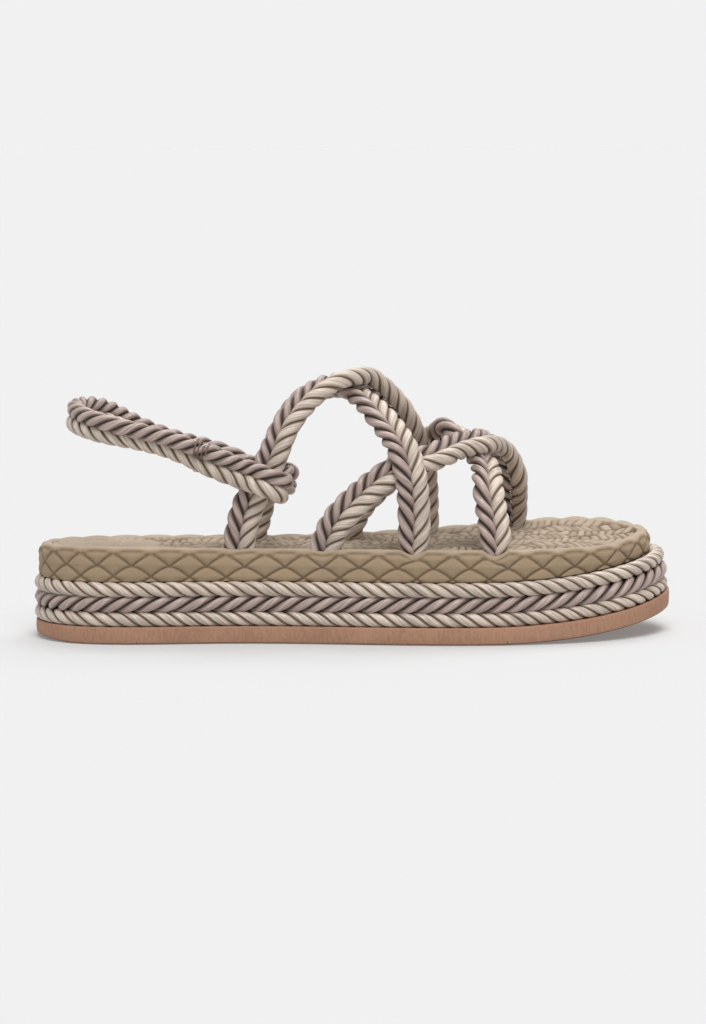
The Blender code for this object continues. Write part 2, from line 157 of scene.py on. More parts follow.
# How far each strap's foot dents the footbed, and how far its cords close up there: lateral, medial
STRAP_DENTS = {
    "rear_over": (0.5, 0.6),
    "rear_under": (2.0, 0.6),
    "front_over": (1.1, 0.8),
    "front_under": (2.5, 0.6),
}
STRAP_PINCHES = {
    "rear_over": (0.0, 0.0),
    "rear_under": (0.36, 0.1),
    "front_over": (0.0, 0.1),
    "front_under": (0.36, 0.1),
}

# Heel strap between its two loops: along, across, height of its middle, outward lean of its upper cord
HEEL_STRAP = [
    (76.0, -37.0, 71.0, 6.0),
    (57.0, -35.6, 78.8, 30.0),
    (40.0, -32.6, 82.8, 36.0),
    (28.0, -27.0, 85.1, 16.0),
    (19.8, -18.4, 87.2, 2.0),
    (16.6, -7.5, 88.6, -4.0),
    (19.8, 3.6, 89.2, 4.0),
    (28.0, 12.6, 87.4, 20.0),
    (40.0, 20.0, 81.0, 36.0),
    (57.0, 25.0, 73.7, 32.0),
    (76.0, 27.0, 67.6, 10.0),
]
HEEL_CENTRE = (76.0, -6.0)
HEEL_LOOP_HEIGHTS = (64.2, 61.0)
HEEL_LOOP_TURN = 8.0
HEEL_LOOP_EASE = 0.2  # less than the solid's, and so is the gap: the ropes press into each other
HEEL_LOOP_GAP = -0.35
HEEL_TAIL_ALONG = 66.0
HEEL_TAIL_SPACING = 8.0

CURVE_POINTS = 2000
CHORD_POWER = 0.75

# Rope make-up; a strand's distance, depth and width are shares of the rope's radius
STRANDS = 3
STRAND_DISTANCE = 0.52
STRAND_DEPTH = 0.48
CREAM_STRAND_WIDTH = 0.61
TAUPE_STRAND_WIDTH = 0.51
STRAND_COLUMNS = 12
FIBRES = 7.0  # fine lines that show across one strand
CREAM_GROOVE_SHADE = (0.26, 0.57)  # painted shade in the cords' grooves: how dark the cords are there, and where the shade begins in a strand
TAUPE_GROOVE_SHADE = (0.1, 0.46)
TAUPE_STRAP_GROOVE_SHADE = (0.1, 0.33)
FOXING_SWELL = 1.17  # the foxing ropes' strands press into each other
FOXING_FLARE = (1.6, 1.3, 0.1)  # how far each foxing rope stands out at the toe tip, from the outsole up
CORD_SWELL = 1.07  # the two cords of a strap press into each other too
CORD_PRESS = 0.9  # and lie closer than the solid's
ROPE_STEP = 0.85  # distance between rope rings

Z_TWIST = 1.0  # cream cords
S_TWIST = -1.0  # taupe cords
STRAP_PHASE = 1.7  # start angle of a strap's twist, times its number
HEEL_PHASE = 0.9
FOXING_PHASE = 1.3  # start angle of a foxing rope's twist, times its number
FOXING_RUN = 620.0  # a little over a foxing rope's length, for its number of rings
FOXING_FLARE_SPAN = (200.0, 258.0)  # where the flare begins along the sole, and where it is full
PINCH_LENGTH = 9.0  # distance over which a strap's cords close up towards its foot

# Footbed's relief
FOOT_HALF_LENGTH = 5.2  # size of the dent round a strap's foot
FOOT_HALF_WIDTH = 3.2
DENT_FADE = 2.0  # distance over which a dent fades inwards
DENT_POWER = 1.4  # roundness of a dent along the rim
DENT_SPAN = (0.35, 0.95)  # where the wall begins to be dented and is fully so, as shares of its height
BRAID_COUNT = [(0.0, -0.136), (20.0, 18.92), (42.0, 41.864)]  # columns of the solid's braid, of this one
BRAID_PITCH = 15.4  # width of a diamond
BRAID_MIDDLE = 7.3  # from the rim down to the middle row of crossings
BRAID_UPPER_ROW = 4.6  # from the middle row of crossings up to the upper one
BRAID_ARCH = 0.75  # how far the strips' straight edges turn to arches
BRAID_CAP = 1.5  # rise of the arches that close the braid along the rim
BRAID_SLOPE = 1.2  # width of a groove's slope
BRAID_PILLOW = 2.4  # how far a diamond's face curves towards its groove
BRAID_SLOPE_SHARE = 0.55  # share of the depth that the slope takes up
BRAID_SHADE_LINE = 0.75  # half width of the line of painted shade in a groove
BRAID_SWAY = [(0.02, 2.1, 0.0), (0.015, 5.3, 1.0)]  # uneven spacing: size, pace, start
BASE_INSET = 1.5
WALL_SHARES = np.linspace(0.03, 1, 22)  # places of the wall's rings between its foot and its rounding
WALL_FLARE = 0.35  # how far the wall's foot draws in
RIM_ROUNDING = 3.4
RIM_ANGLES = (18, 36, 54, 72, 90)
SCALLOP_TOE = (150.0, 235.0)  # along: where the scallops grow to their full rise
SCALLOP_MEDIAL = (-20.0, 20.0)  # across: where they grow to a part of it
SCALLOP_MEDIAL_SHARE = 0.4
SCALLOP_LEAST = 0.25  # share of the rise that the lateral side has
TOP_COLOUR_BEGIN = 0.3  # from the wall
FOOTBED_BORDER = 5.5  # smooth border inside the rim
BORDER_RINGS = (4.0, 4.7, FOOTBED_BORDER)
BORDER_DROP = 0.3
BORDER_DROP_SPAN = (2.2, 8.0)  # from the wall
TOP_DIP = 1.1  # how far the top sinks inside its border
TOP_DIP_WIDTH = 9.0
TOP_SETTLE = 3.0  # distance over which the border's level turns to the top's
TOP_COLUMNS = 84
PLAIT_BEGIN = (0.3, 2.0)  # where the plait begins inside the border, and where it is full
PIT_SHADE = (1.9, 0.35)  # how fast the plait's pits darken, and what is taken off
HEEL_PATCH = (30.0, -6.0, 19.0, 21.0)  # patch of faint weave: along, across, reach to the toe, half width
HEEL_PATCH_EDGE = (0.6, 1.9)  # where the weave begins to grow and is full; 1 is the patch's own edge
HEEL_PATCH_WEAVE = 0.35  # share of the weave's depth that is left in the patch

# Rings of the outsole's edge from the floor up: inset, height
EDGE = [
    (1.2, 0.0), (0.5, 0.08), (0.18, 0.3), (0.05, 0.8), (-0.02, 1.6), (-0.1, 3.0), (-0.1, 4.6), (-0.02, 5.8),
    (0.02, 6.4), (0.18, 6.78), (1.0, OUTSOLE_THICKNESS),
]
EDGE_POINTS = 480
HEEL_LIFT = 1.4  # how far the lower edge is worn off at the back of the heel
HEEL_LIFT_END = 17.0  # along
FLOOR_SHADE_HEIGHT = 1.6  # height of the line of painted shade along the floor
TREAD_COLUMNS = 40
TREAD_DEPTH = 0.5
TREAD_PITCH = 6.5
TREAD_FLANK = (0.2, 0.7)  # part of the wave that a rib's flank takes up
TREAD_WAVE = (2.2, 3.5)  # how far the ribs swing to and fro, and the width of a swing over 2 pi
TREAD_MARGIN = (2.0, 6.0)  # where the ribs begin inside the edge, and where they are full

# Stitches and threads
STITCH_STEP = 4.4
STITCH_INSIDE = 2.0  # from a strap's middle line to its stitches
STITCH_RADIUS = 0.3
STITCH_REACH = (0.6, 0.35, 0.8)  # half its length along the strap, half across it, rise of its middle
WHIPPING_ALONG = 68.3
WHIPPING_TURNS = 3.5
WHIPPING_RADIUS = 0.34
TIP_RADIUS = 0.28
FRAY_RADIUS = 0.24
THREAD_RADIUS = 0.26
THREAD_STEPS = (-22, 0, 22)  # points of the strap's line, from its top, where pale threads cross

# Stage: sizes in metres
FLOOR_SIZE = 60.0
FLOOR_HEIGHT = -0.0002
LIGHT_HEIGHT = 2.0
BACKDROP_RISE = (0.05, 0.3)  # where the surroundings begin to darken and are dark: sine of the elevation
SENSOR_WIDTH = 36.0  # millimetres
CLIP_START = 0.05


def smooth(rows, at):
    """Natural cubic curve through rows of (x, values...), read at the given x values."""
    rows = np.asarray(rows, float)
    knots, values = rows[:, 0], rows[:, 1:]
    count = len(knots)
    step = np.diff(knots)
    system = np.eye(count)
    right = np.zeros_like(values)
    for i in range(1, count - 1):
        system[i, i - 1 : i + 2] = step[i - 1], 2 * (step[i - 1] + step[i]), step[i]
        right[i] = 6 * ((values[i + 1] - values[i]) / step[i] - (values[i] - values[i - 1]) / step[i - 1])
    bend = np.linalg.solve(system, right)
    at = np.atleast_1d(np.asarray(at, float))
    i = np.clip(np.searchsorted(knots, at) - 1, 0, count - 2)
    width = step[i][:, None]
    before, after = (at - knots[i])[:, None], (knots[i + 1] - at)[:, None]
    curved = (bend[i] * after**3 + bend[i + 1] * before**3) / (6 * width)
    return (
        curved
        + (values[i] / width - bend[i] * width / 6) * after
        + (values[i + 1] / width - bend[i + 1] * width / 6) * before
    )


def closed(rings):
    """Rows of rings, each with its first point added at its end."""
    return np.concatenate([rings, rings[:, :1]], axis=1)


def halves(ring):
    """Lateral and medial half of a ring that starts at the heel, both from heel to toe."""
    half = len(ring) // 2
    return ring[: half + 1], ring[(-np.arange(half + 1)) % len(ring)]


def span(ring, columns):
    """Grid of points across a ring, each column's share of the way across, each point's distance inside."""
    lateral, medial = halves(ring)
    share = np.linspace(0, 1, columns + 1)[None, :]
    points = lateral[:, None, :] * (1 - share[..., None]) + medial[:, None, :] * share[..., None]
    width = np.linalg.norm(lateral - medial, axis=1)[:, None]
    return points, share, np.minimum(share, 1 - share) * width


def sweep(line, first, second, x, y):
    """Points of a section carried along a line, with x and y along its first and second directions."""
    return line[:, None, :] + x[..., None] * first[:, None, :] + y[..., None] * second[:, None, :]


def unit(vectors):
    """Rows of vectors, each brought to length 1."""
    return vectors / np.linalg.norm(vectors, axis=1)[:, None]


def ease(low, high, value):
    """Smooth step from 0 to 1."""
    share = np.clip((value - low) / (high - low), 0, 1)
    return share * share * (3 - 2 * share)


def run_of(points):
    """Distance along points, starting at 0."""
    return np.concatenate([[0], np.cumsum(np.linalg.norm(np.diff(points, axis=0), axis=1))])


def outline(count):
    """Evenly spaced points (along, across) of the closed curve through OUTLINE, starting at the heel."""
    points = np.array([row[1:] for row in OUTLINE])
    wrapped = np.vstack([points[-4:], points, points[:5]])
    chord = np.linalg.norm(np.diff(wrapped, axis=0), axis=1) ** CHORD_POWER
    at = np.concatenate([[0], np.cumsum(chord)])
    fine = smooth(np.column_stack([at, wrapped]), np.linspace(at[4], at[-5], CURVE_POINTS))
    run = run_of(fine)
    even = np.linspace(0, run[-1], count, endpoint=False)
    return np.column_stack([np.interp(even, run, fine[:, k]) for k in (0, 1)])


def inward_of(loop):
    """Unit vectors that point into an anticlockwise loop."""
    along = unit(np.roll(loop, -1, axis=0) - np.roll(loop, 1, axis=0))
    return np.column_stack([-along[:, 1], along[:, 0]])


def inset(loop, by):
    """An anticlockwise loop moved inwards by a distance, one for all its points or one for each."""
    return loop + inward_of(loop) * np.broadcast_to(by, len(loop))[:, None]


def spring(loop):
    """Height that the toe spring adds at points (along, across, ...)."""
    past = loop[:, 0] + SPRING_SKEW * loop[:, 1] - SPRING_START
    return SPRING_HEIGHT * np.clip(past / (SPRING_END - SPRING_START), 0, None) ** 2


def placed(loop, height):
    """Points (along, across) at a height, as X, Y, Z in millimetres."""
    return np.column_stack([loop[:, 0] - ALONG_MIDDLE, loop[:, 1], np.broadcast_to(height, len(loop))])


def rim_height(loop):
    """Height of the footbed's rim beside points (along, across)."""
    lateral, medial = smooth(FOOTBED_RIM, loop[:, 0]).T
    middle = smooth(RIM_MIDDLE, loop[:, 0])[:, 0]
    share = np.clip(0.5 + (loop[:, 1] - middle) / RIM_BLEND, 0, 1)
    return lateral + (medial - lateral) * share


def cord_heights():
    """Height of the middle of each foxing cord, from the outsole up, and of the platform's top."""
    heights = []
    floor = OUTSOLE_THICKNESS
    for _, _, radius in CORDS:
        heights.append(floor + GAP + radius)
        floor += GAP + 2 * radius
    return heights, floor


def foot_form(along, turn):
    """Point of the straps' form over the foot for a turn in degrees."""
    top, lateral, medial = smooth(FOOT_FORM, along).T
    middle, half = (lateral + medial) / 2, (medial - lateral) / 2
    cosine, sine = np.cos(np.radians(turn)), np.sin(np.radians(turn))
    power = 2 / FOOT_FORM_ROUNDNESS
    across = middle - half * np.sign(cosine) * np.abs(cosine) ** power
    height = FOOT_FORM_BASE + (top - FOOT_FORM_BASE) * np.abs(sine) ** power
    return np.column_stack([along - ALONG_MIDDLE, across, height])


def foot_normal(along, turn):
    """Outward normal of the form over the foot."""
    turn = np.clip(turn, FOOT_FORM_EDGE, 180 - FOOT_FORM_EDGE)
    lengthwise = foot_form(along + NORMAL_REACH, turn) - foot_form(along - NORMAL_REACH, turn)
    round_foot = foot_form(along, turn + NORMAL_REACH) - foot_form(along, turn - NORMAL_REACH)
    return unit(np.cross(lengthwise, round_foot))


def strap_path(name, count=None):
    """Even points of a strap's middle line, with its side (to the toe) and outside directions."""
    turn = np.linspace(0, 180, CURVE_POINTS)
    along, lift = smooth(STRAPS[name], turn).T
    fine = foot_form(along, turn) + foot_normal(along, turn) * np.clip(lift, 0, None)[:, None]
    foot = np.array([0, 0, STRAP_FOOT_DEPTH])
    fine = np.vstack([fine[0] - foot, fine, fine[-1] - foot])
    turn = np.concatenate([[0], turn, [180]])
    along = np.concatenate([along[:1], along, along[-1:]])
    run = run_of(fine)
    even = np.linspace(0, run[-1], count or int(run[-1] / ROPE_STEP))
    path = np.column_stack([np.interp(even, run, fine[:, k]) for k in range(3)])
    turn = np.interp(even, run, turn)
    outside = foot_normal(np.interp(even, run, along), turn)
    tangent = unit(np.gradient(path, axis=0))
    outside = unit(outside - tangent * (outside * tangent).sum(axis=1)[:, None])
    side = np.cross(tangent, outside)
    twist = np.radians(np.interp(turn, *np.transpose(STRAP_TWIST.get(name, [(0, 0)]))))[:, None]
    cosine, sine = np.cos(twist), np.sin(twist)
    return path, side * cosine + outside * sine, outside * cosine - side * sine


def heel_rows():
    """Rows (point, upward) of the heel strap between its loops, from the lateral to the medial side."""
    rows = []
    for along, across, height, lean in HEEL_STRAP:
        outward = np.array([along - HEEL_CENTRE[0], across - HEEL_CENTRE[1], 0.0])
        outward /= np.linalg.norm(outward)
        tilt = np.radians(lean)
        upward = outward * np.sin(tilt) + np.array([0.0, 0.0, np.cos(tilt)])
        rows.append(np.concatenate([[along - ALONG_MIDDLE, across, height], upward]))
    return rows


def heel_loop(strap, end, last, before):
    """Rows of the heel strap's loop round a strap, at its lateral (0) or medial (-1) end, out to in.

    The two heel strap rows next to the loop place its tail."""
    path, side, outside = strap_path(strap, CURVE_POINTS)
    at = np.flatnonzero(path[:, 2] > HEEL_LOOP_HEIGHTS[end])[end]
    upright = np.cross(outside[at], side[at])
    upright *= np.sign(upright[2])
    turn = np.radians(HEEL_LOOP_TURN)
    forward = side[at] * np.cos(turn) + upright * np.sin(turn)
    upward = upright * np.cos(turn) - side[at] * np.sin(turn)
    reach = STRAP_CORD_RADIUS + HEEL_LOOP_GAP + HEEL_CORD_RADIUS
    front = path[at] + forward * STRAP_CORD_SPACING / 2
    rear = path[at] - forward * STRAP_CORD_SPACING / 2
    points = [rear + outside[at] * reach]
    for angle in np.radians([90, 45, 0, -45, -90]):
        forth = (reach + HEEL_LOOP_EASE) * np.cos(angle)
        points.append(front + outside[at] * reach * np.sin(angle) + forward * forth)
    points.append(rear - outside[at] * reach)
    rows = [np.concatenate([point, upward]) for point in points]
    share = (HEEL_TAIL_ALONG - ALONG_MIDDLE - last[0]) / (before[0] - last[0])
    tail = last + (before - last) * share
    tail[:3] -= outside[at] * HEEL_TAIL_SPACING
    return rows + [tail]


def heel_strap_path():
    """Even points of the heel strap's middle line, with its upward and outward directions."""
    rows = heel_rows()
    lateral = heel_loop("rear_over", 0, rows[0], rows[1])
    medial = heel_loop("rear_under", -1, rows[-1], rows[-2])
    rows = np.array(lateral[::-1] + rows + medial)
    chord = np.linalg.norm(np.diff(rows[:, :3], axis=0), axis=1) ** CHORD_POWER
    at = np.concatenate([[0], np.cumsum(chord)])
    fine = smooth(np.column_stack([at, rows]), np.linspace(0, at[-1], CURVE_POINTS))
    run = run_of(fine[:, :3])
    even = np.linspace(0, run[-1], int(run[-1] / ROPE_STEP))
    points = np.column_stack([np.interp(even, run, fine[:, k]) for k in range(6)])
    path, upward = points[:, :3], points[:, 3:]
    tangent = unit(np.gradient(path, axis=0))
    upward = unit(upward - tangent * (upward * tangent).sum(axis=1)[:, None])
    return path, upward, np.cross(upward, tangent)


class RopeSizes(bpy.types.PropertyGroup):
    """Lay of the twisted cords."""

    strap_lay: FloatProperty(
        name="Strap lay", description="Length of one turn of a strap cord", default=19.4 * MM, unit="LENGTH"
    )
    heel_lay: FloatProperty(
        name="Heel lay", description="Length of one turn of a heel strap cord", default=18.3 * MM,
        unit="LENGTH",
    )
    cream_lay: FloatProperty(
        name="Cream foxing lay", description="Length of one turn of a cream foxing cord", default=18.8 * MM,
        unit="LENGTH",
    )
    taupe_lay: FloatProperty(
        name="Taupe foxing lay", description="Length of one turn of the taupe foxing cord", default=21.9 * MM,
        unit="LENGTH",
    )
    unevenness: FloatProperty(
        name="Unevenness", description="How unevenly the strands lie, as a share of a turn", default=0.03,
        subtype="FACTOR",
    )


class FootbedSizes(bpy.types.PropertyGroup):
    """Relief of the moulded footbed."""

    braid_depth: FloatProperty(
        name="Braid depth", description="Depth of the grooves between the diamonds", default=1.25 * MM,
        unit="LENGTH",
    )
    braid_row: FloatProperty(
        name="Braid row", description="Height from the lower row of crossings to the middle",
        default=4.2 * MM, unit="LENGTH",
    )
    scallop: FloatProperty(
        name="Scallop", description="Rise and fall of the rim along the braid",
        default=0.55 * MM, unit="LENGTH",
    )
    plait_depth: FloatProperty(
        name="Plait depth", description="Depth of the plaited relief on the top",
        default=1.5 * MM, unit="LENGTH",
    )
    plait_row: FloatProperty(
        name="Plait row", description="Width of one strand of the plaited top",
        default=3.4 * MM, unit="LENGTH",
    )
    columns: IntProperty(name="Columns", description="Mesh columns for each diamond", default=24, min=8)


class Colours(bpy.types.PropertyGroup):
    """Colours of the finishes."""

    cream: FloatVectorProperty(
        name="Cream", description="Cream cord", default=(0.59, 0.494, 0.414), subtype="COLOR"
    )
    taupe: FloatVectorProperty(
        name="Taupe", description="Taupe cord", default=(0.43, 0.325, 0.285), subtype="COLOR"
    )
    footbed: FloatVectorProperty(
        name="Footbed", description="Moulded footbed foam", default=(0.345, 0.255, 0.163), subtype="COLOR"
    )
    insole: FloatVectorProperty(
        name="Insole", description="Top of the footbed", default=(0.415, 0.332, 0.252), subtype="COLOR"
    )
    crepe: FloatVectorProperty(
        name="Crepe", description="Crepe outsole", default=(0.395, 0.222, 0.145), subtype="COLOR"
    )
    platform: FloatVectorProperty(
        name="Platform", description="Foam behind the foxing cords",
        default=(0.30, 0.23, 0.18), subtype="COLOR",
    )
    thread: FloatVectorProperty(
        name="Thread", description="Pale sewing thread", default=(0.80, 0.77, 0.72), subtype="COLOR"
    )
    dark_thread: FloatVectorProperty(
        name="Dark thread", description="Thread of the heel strap's sewn spot", default=(0.17, 0.105, 0.08),
        subtype="COLOR",
    )


class StageSettings(bpy.types.PropertyGroup):
    """Camera and light."""

    camera_distance: FloatProperty(
        name="Camera distance", description="From the camera to its aim", default=1.5, unit="LENGTH"
    )
    camera_height: FloatProperty(
        name="Camera elevation", description="Angle of the view above the horizon", default=math.radians(6.0),
        subtype="ANGLE",
    )
    lens: FloatProperty(name="Lens", description="Focal length in millimetres", default=129.4)
    aim: FloatVectorProperty(
        name="Aim", description="Point that the camera looks at",
        default=(-0.0003, 0.0, 0.0484), subtype="XYZ",
    )
    backdrop: FloatProperty(
        name="Backdrop", description="Brightness of the pale surroundings", default=0.879, subtype="FACTOR"
    )
    upper_dark: FloatProperty(
        name="Upper dark", description="Brightness of the surroundings above the horizon", default=0.38,
        subtype="FACTOR",
    )
    key_strength: FloatProperty(name="Key strength", description="Strength of the light above", default=2.2)
    key_spread: FloatProperty(
        name="Key spread", description="Angle that the light above fills", default=math.radians(34.0),
        subtype="ANGLE",
    )
    key_lean: FloatVectorProperty(
        name="Key lean", description="Rotation of the light above",
        default=(math.radians(24.0), math.radians(3.0), 0.0), subtype="EULER",
    )
    back_strength: FloatProperty(
        name="Back strength", description="Strength of the light behind, which casts the shadow forward",
        default=1.52,
    )
    back_spread: FloatProperty(
        name="Back spread", description="Angle that the light behind fills", default=math.radians(36.0),
        subtype="ANGLE",
    )
    back_lean: FloatVectorProperty(
        name="Back lean", description="Rotation of the light behind",
        default=(math.radians(-27.0), math.radians(9.0), 0.0), subtype="EULER",
    )
    floor_grey: FloatProperty(
        name="Floor", description="Share of the light that the floor reflects", default=0.48, subtype="FACTOR"
    )
    floor_glow: FloatProperty(
        name="Floor glow", description="Light that the floor gives off, so that its shadows stay pale",
        default=0.178,
    )


class Wire:
    """A socket of a node tree. Arithmetic on wires adds Math nodes, and node adds any other node."""

    def __init__(self, tree, socket=None):
        self.tree = tree
        self.socket = socket

    def node(self, kind, settings=None, inputs=None, output=0):
        made = self.tree.nodes.new(kind)
        for name, value in (settings or {}).items():
            setattr(made, name, value)
        for key, value in (inputs or {}).items():
            if isinstance(value, Wire):
                self.tree.links.new(value.socket, made.inputs[key])
            else:
                made.inputs[key].default_value = value
        return Wire(self.tree, made.outputs[output])

    def math(self, operation, *values):
        return self.node("ShaderNodeMath", {"operation": operation}, dict(enumerate(values)))

    def __add__(self, other):
        return self.math("ADD", self, other)

    __radd__ = __add__

    def __mul__(self, other):
        return self.math("MULTIPLY", self, other)

    __rmul__ = __mul__

    def __sub__(self, other):
        return self.math("SUBTRACT", self, other)

    def __rsub__(self, other):
        return self.math("SUBTRACT", other, self)

    def between(self, low, high):
        """0 below low, 1 above high, and a smooth step between."""
        return self.node(
            "ShaderNodeMapRange",
            {"interpolation_type": "SMOOTHSTEP"},
            {"Value": self, "From Min": low, "From Max": high},
        )

    def mix(self, first, second):
        """Colour between two colours, with this wire as the factor."""
        return self.node(
            "ShaderNodeMix", {"data_type": "RGBA"}, {"Factor": self, 6: first, 7: second}, output=2
        )

    def noise(self, vector, scale, detail=2.0, roughness=0.5):
        return self.node(
            "ShaderNodeTexNoise",
            None,
            {"Vector": vector, "Scale": scale, "Detail": detail, "Roughness": roughness},
        )

    def split(self, vector):
        """The x, y and z wires of a vector wire."""
        parts = self.node("ShaderNodeSeparateXYZ", None, {"Vector": vector})
        return [Wire(self.tree, output) for output in parts.socket.node.outputs]

    def joined(self, x, y):
        """A vector wire of two wires."""
        return self.node("ShaderNodeCombineXYZ", None, {"X": x, "Y": y})

    def place(self):
        """Object coordinates."""
        return self.node("ShaderNodeTexCoord", output=3)

    def attribute(self, name):
        """Value that the mesh keeps for each vertex."""
        return self.node("ShaderNodeAttribute", {"attribute_name": name}, output=2)


def tint(colour, factor, warm=0.0):
    """A colour scaled by a factor and turned warmer, as RGBA."""
    red, green, blue = (part * factor for part in colour)
    return (min(red * (1 + warm), 1), green, max(blue * (1 - warm), 0), 1)


def new_finish(name, roughness, sheen=0.0, specular=0.5):
    """A material with its Principled shader's constant values set, and a wire for its tree."""
    made = bpy.data.materials.new(name)
    made.use_nodes = True
    shader = made.node_tree.nodes["Principled BSDF"]
    shader.inputs["Roughness"].default_value = roughness
    shader.inputs["Sheen Weight"].default_value = sheen
    shader.inputs["Specular IOR Level"].default_value = specular
    return made, shader, Wire(made.node_tree)


def link(shader, name, wire):
    """Leads a wire to a named input of a shader."""
    wire.tree.links.new(wire.socket, shader.inputs[name])


def bump(wire, height, distance, strength):
    """Normal of a surface that a height wire raises by a distance in metres."""
    return wire.node("ShaderNodeBump", None, {"Strength": strength, "Distance": distance, "Height": height})


def cord_finish(name, colour, groove):
    """Satin cord: fine fibres run along each smooth strand, and painted shade darkens the strands towards
    their grooves.
    """
    made, shader, wire = new_finish(name, 0.5, sheen=0.1, specular=0.7)
    turns, across, _ = wire.split(wire.node("ShaderNodeUVMap", {"uv_map": "UVMap"}))
    in_strand = across.math("FRACT", across) - 0.5
    off_middle = in_strand.math("ABSOLUTE", in_strand) * 2.0
    fibre = wire.noise(wire.joined(turns * 0.45, across * FIBRES), 1.0, 3.0, 0.7)
    patch = wire.noise(wire.place(), 60.0, 2.0)
    # painted shade towards the grooves: how dark it gets, and where in the strand it begins
    dark, begins = groove
    shadow = (off_middle + fibre * 0.16).between(begins, 1.0)
    body = fibre * 0.8 + patch * 0.2
    lit = body.between(0.36, 0.64).mix(tint(colour, 0.7), tint(colour, 1.33))
    link(shader, "Base Color", shadow.mix(lit, tint(colour, dark, 0.29)))
    link(shader, "Roughness", 0.26 + fibre * 0.2 + shadow * 0.5)
    link(shader, "Normal", bump(wire, fibre, 0.0006, 0.9))
    return made


def footbed_finish(colour, top_colour):
    """Matt moulded foam with a fine skin, paler on top, and darkened by painted shade in the grooves of its
    relief.
    """
    made, shader, wire = new_finish("footbed_foam_skin", 0.72, specular=0.3)
    place = wire.place()
    # the groove attribute holds painted shade, in the braid's grooves and the plait's pits
    deep = wire.attribute("groove")
    upper = wire.attribute("upper")
    grain = wire.noise(place, 1500.0, 2.0, 0.7)
    cloud = wire.noise(place, 38.0, 3.0)
    mottle = (cloud * 0.6 + grain * 0.4).between(0.3, 0.7)
    low, high = (upper.mix(tint(colour, part), tint(top_colour, part)) for part in (0.9, 1.08))
    link(shader, "Base Color", deep.mix(mottle.mix(low, high), tint(colour, 0.42, 0.1)))
    link(shader, "Roughness", 0.62 + grain * 0.25)
    link(shader, "Normal", bump(wire, grain, 0.00012, 0.5))
    return made


def crepe_finish(colour):
    """Rubber crepe: a fine upright grain with small pits, and a dark line of painted shade along the floor.
    """
    made, shader, wire = new_finish("crepe_rubber_edge", 0.7, specular=0.35)
    place = wire.place()
    low = wire.attribute("low")
    upright = wire.node("ShaderNodeMapping", None, {"Vector": place, "Scale": (1.0, 1.0, 0.22)})
    grain = wire.noise(upright, 1300.0, 3.0, 0.65)
    crumbs = wire.noise(place, 1500.0, 3.0, 0.7)
    cloud = wire.noise(place, 45.0, 3.0)
    pits = 1.0 - wire.noise(place, 520.0, 2.0).between(0.23, 0.27)
    lit = (grain * 0.45 + cloud * 0.3 + crumbs * 0.25).between(0.36, 0.64)
    body = lit.mix(tint(colour, 0.84, 0.03), tint(colour, 1.14))
    # worn holds painted shade along the floor, made uneven by noise; dark takes the larger of it and the pits
    worn = (low + cloud * 0.5 + crumbs * 0.3).between(1.05, 1.4)
    dark = worn.math("MAXIMUM", worn * 0.9, pits * 0.75)
    link(shader, "Base Color", dark.mix(body, tint(colour, 0.3)))
    link(shader, "Roughness", 0.6 + crumbs * 0.3)
    link(shader, "Normal", bump(wire, grain * 0.6 + crumbs * 0.5, 0.00025, 0.6))
    return made


def platform_finish(colour):
    """Matt foam with fine cells."""
    made, shader, wire = new_finish("platform_foam_core", 0.9, specular=0.2)
    cells = wire.noise(wire.place(), 1100.0, 3.0, 0.7)
    link(shader, "Base Color", cells.between(0.3, 0.7).mix(tint(colour, 0.8), tint(colour, 1.15)))
    link(shader, "Normal", bump(wire, cells, 0.0002, 0.6))
    return made


def thread_finish(name, colour):
    """Sewing thread with a fine ply."""
    made, shader, wire = new_finish(name, 0.6, sheen=0.1)
    ply = wire.noise(wire.place(), 2600.0, 2.0, 0.6)
    link(shader, "Base Color", ply.between(0.3, 0.7).mix(tint(colour, 0.75), tint(colour, 1.1)))
    link(shader, "Normal", bump(wire, ply, 0.0001, 0.7))
    return made


def select_only(*pieces):
    """Selects pieces and nothing else, with the first one active."""
    bpy.ops.object.select_all(action="DESELECT")
    for piece in pieces:
        piece.select_set(True)
    bpy.context.view_layer.objects.active = pieces[0]


def grid_piece(name, points, uv_scale):
    """A grid primitive whose vertices are moved to points (rows, columns, 3), in millimetres.

    Its UV map runs along the rows by uv_scale[0] and along the columns by uv_scale[1]."""
    rows, columns = points.shape[0] - 1, points.shape[1] - 1
    bpy.ops.object.select_all(action="DESELECT")
    bpy.ops.mesh.primitive_grid_add(x_subdivisions=columns, y_subdivisions=rows, size=2, calc_uvs=True)
    piece = bpy.context.active_object
    piece.name = piece.data.name = name
    mesh = piece.data
    flat = np.empty(3 * len(mesh.vertices))
    mesh.vertices.foreach_get("co", flat)
    column = np.rint((flat[0::3] + 1) / 2 * columns).astype(int)
    row = np.rint((flat[1::3] + 1) / 2 * rows).astype(int)
    mesh.vertices.foreach_set("co", (points[row, column] * MM).ravel())
    layer = mesh.uv_layers.active
    layer.name = "UVMap"
    uv = np.empty(2 * len(mesh.loops))
    layer.uv.foreach_get("vector", uv)
    spread = np.column_stack([uv[1::2] * uv_scale[0], uv[0::2] * uv_scale[1]])
    layer.uv.foreach_set("vector", spread.ravel())
    mesh.update()
    return piece


def mark(piece, **layers):
    """Keeps a value for each vertex of a grid, for its finish."""
    for name, values in layers.items():
        if len(piece.data.vertices) != values.size:
            raise RuntimeError("a grid doesn't match its marks")
        layer = piece.data.attributes.new(name, "FLOAT", "POINT")
        layer.data.foreach_set("value", values.ravel())


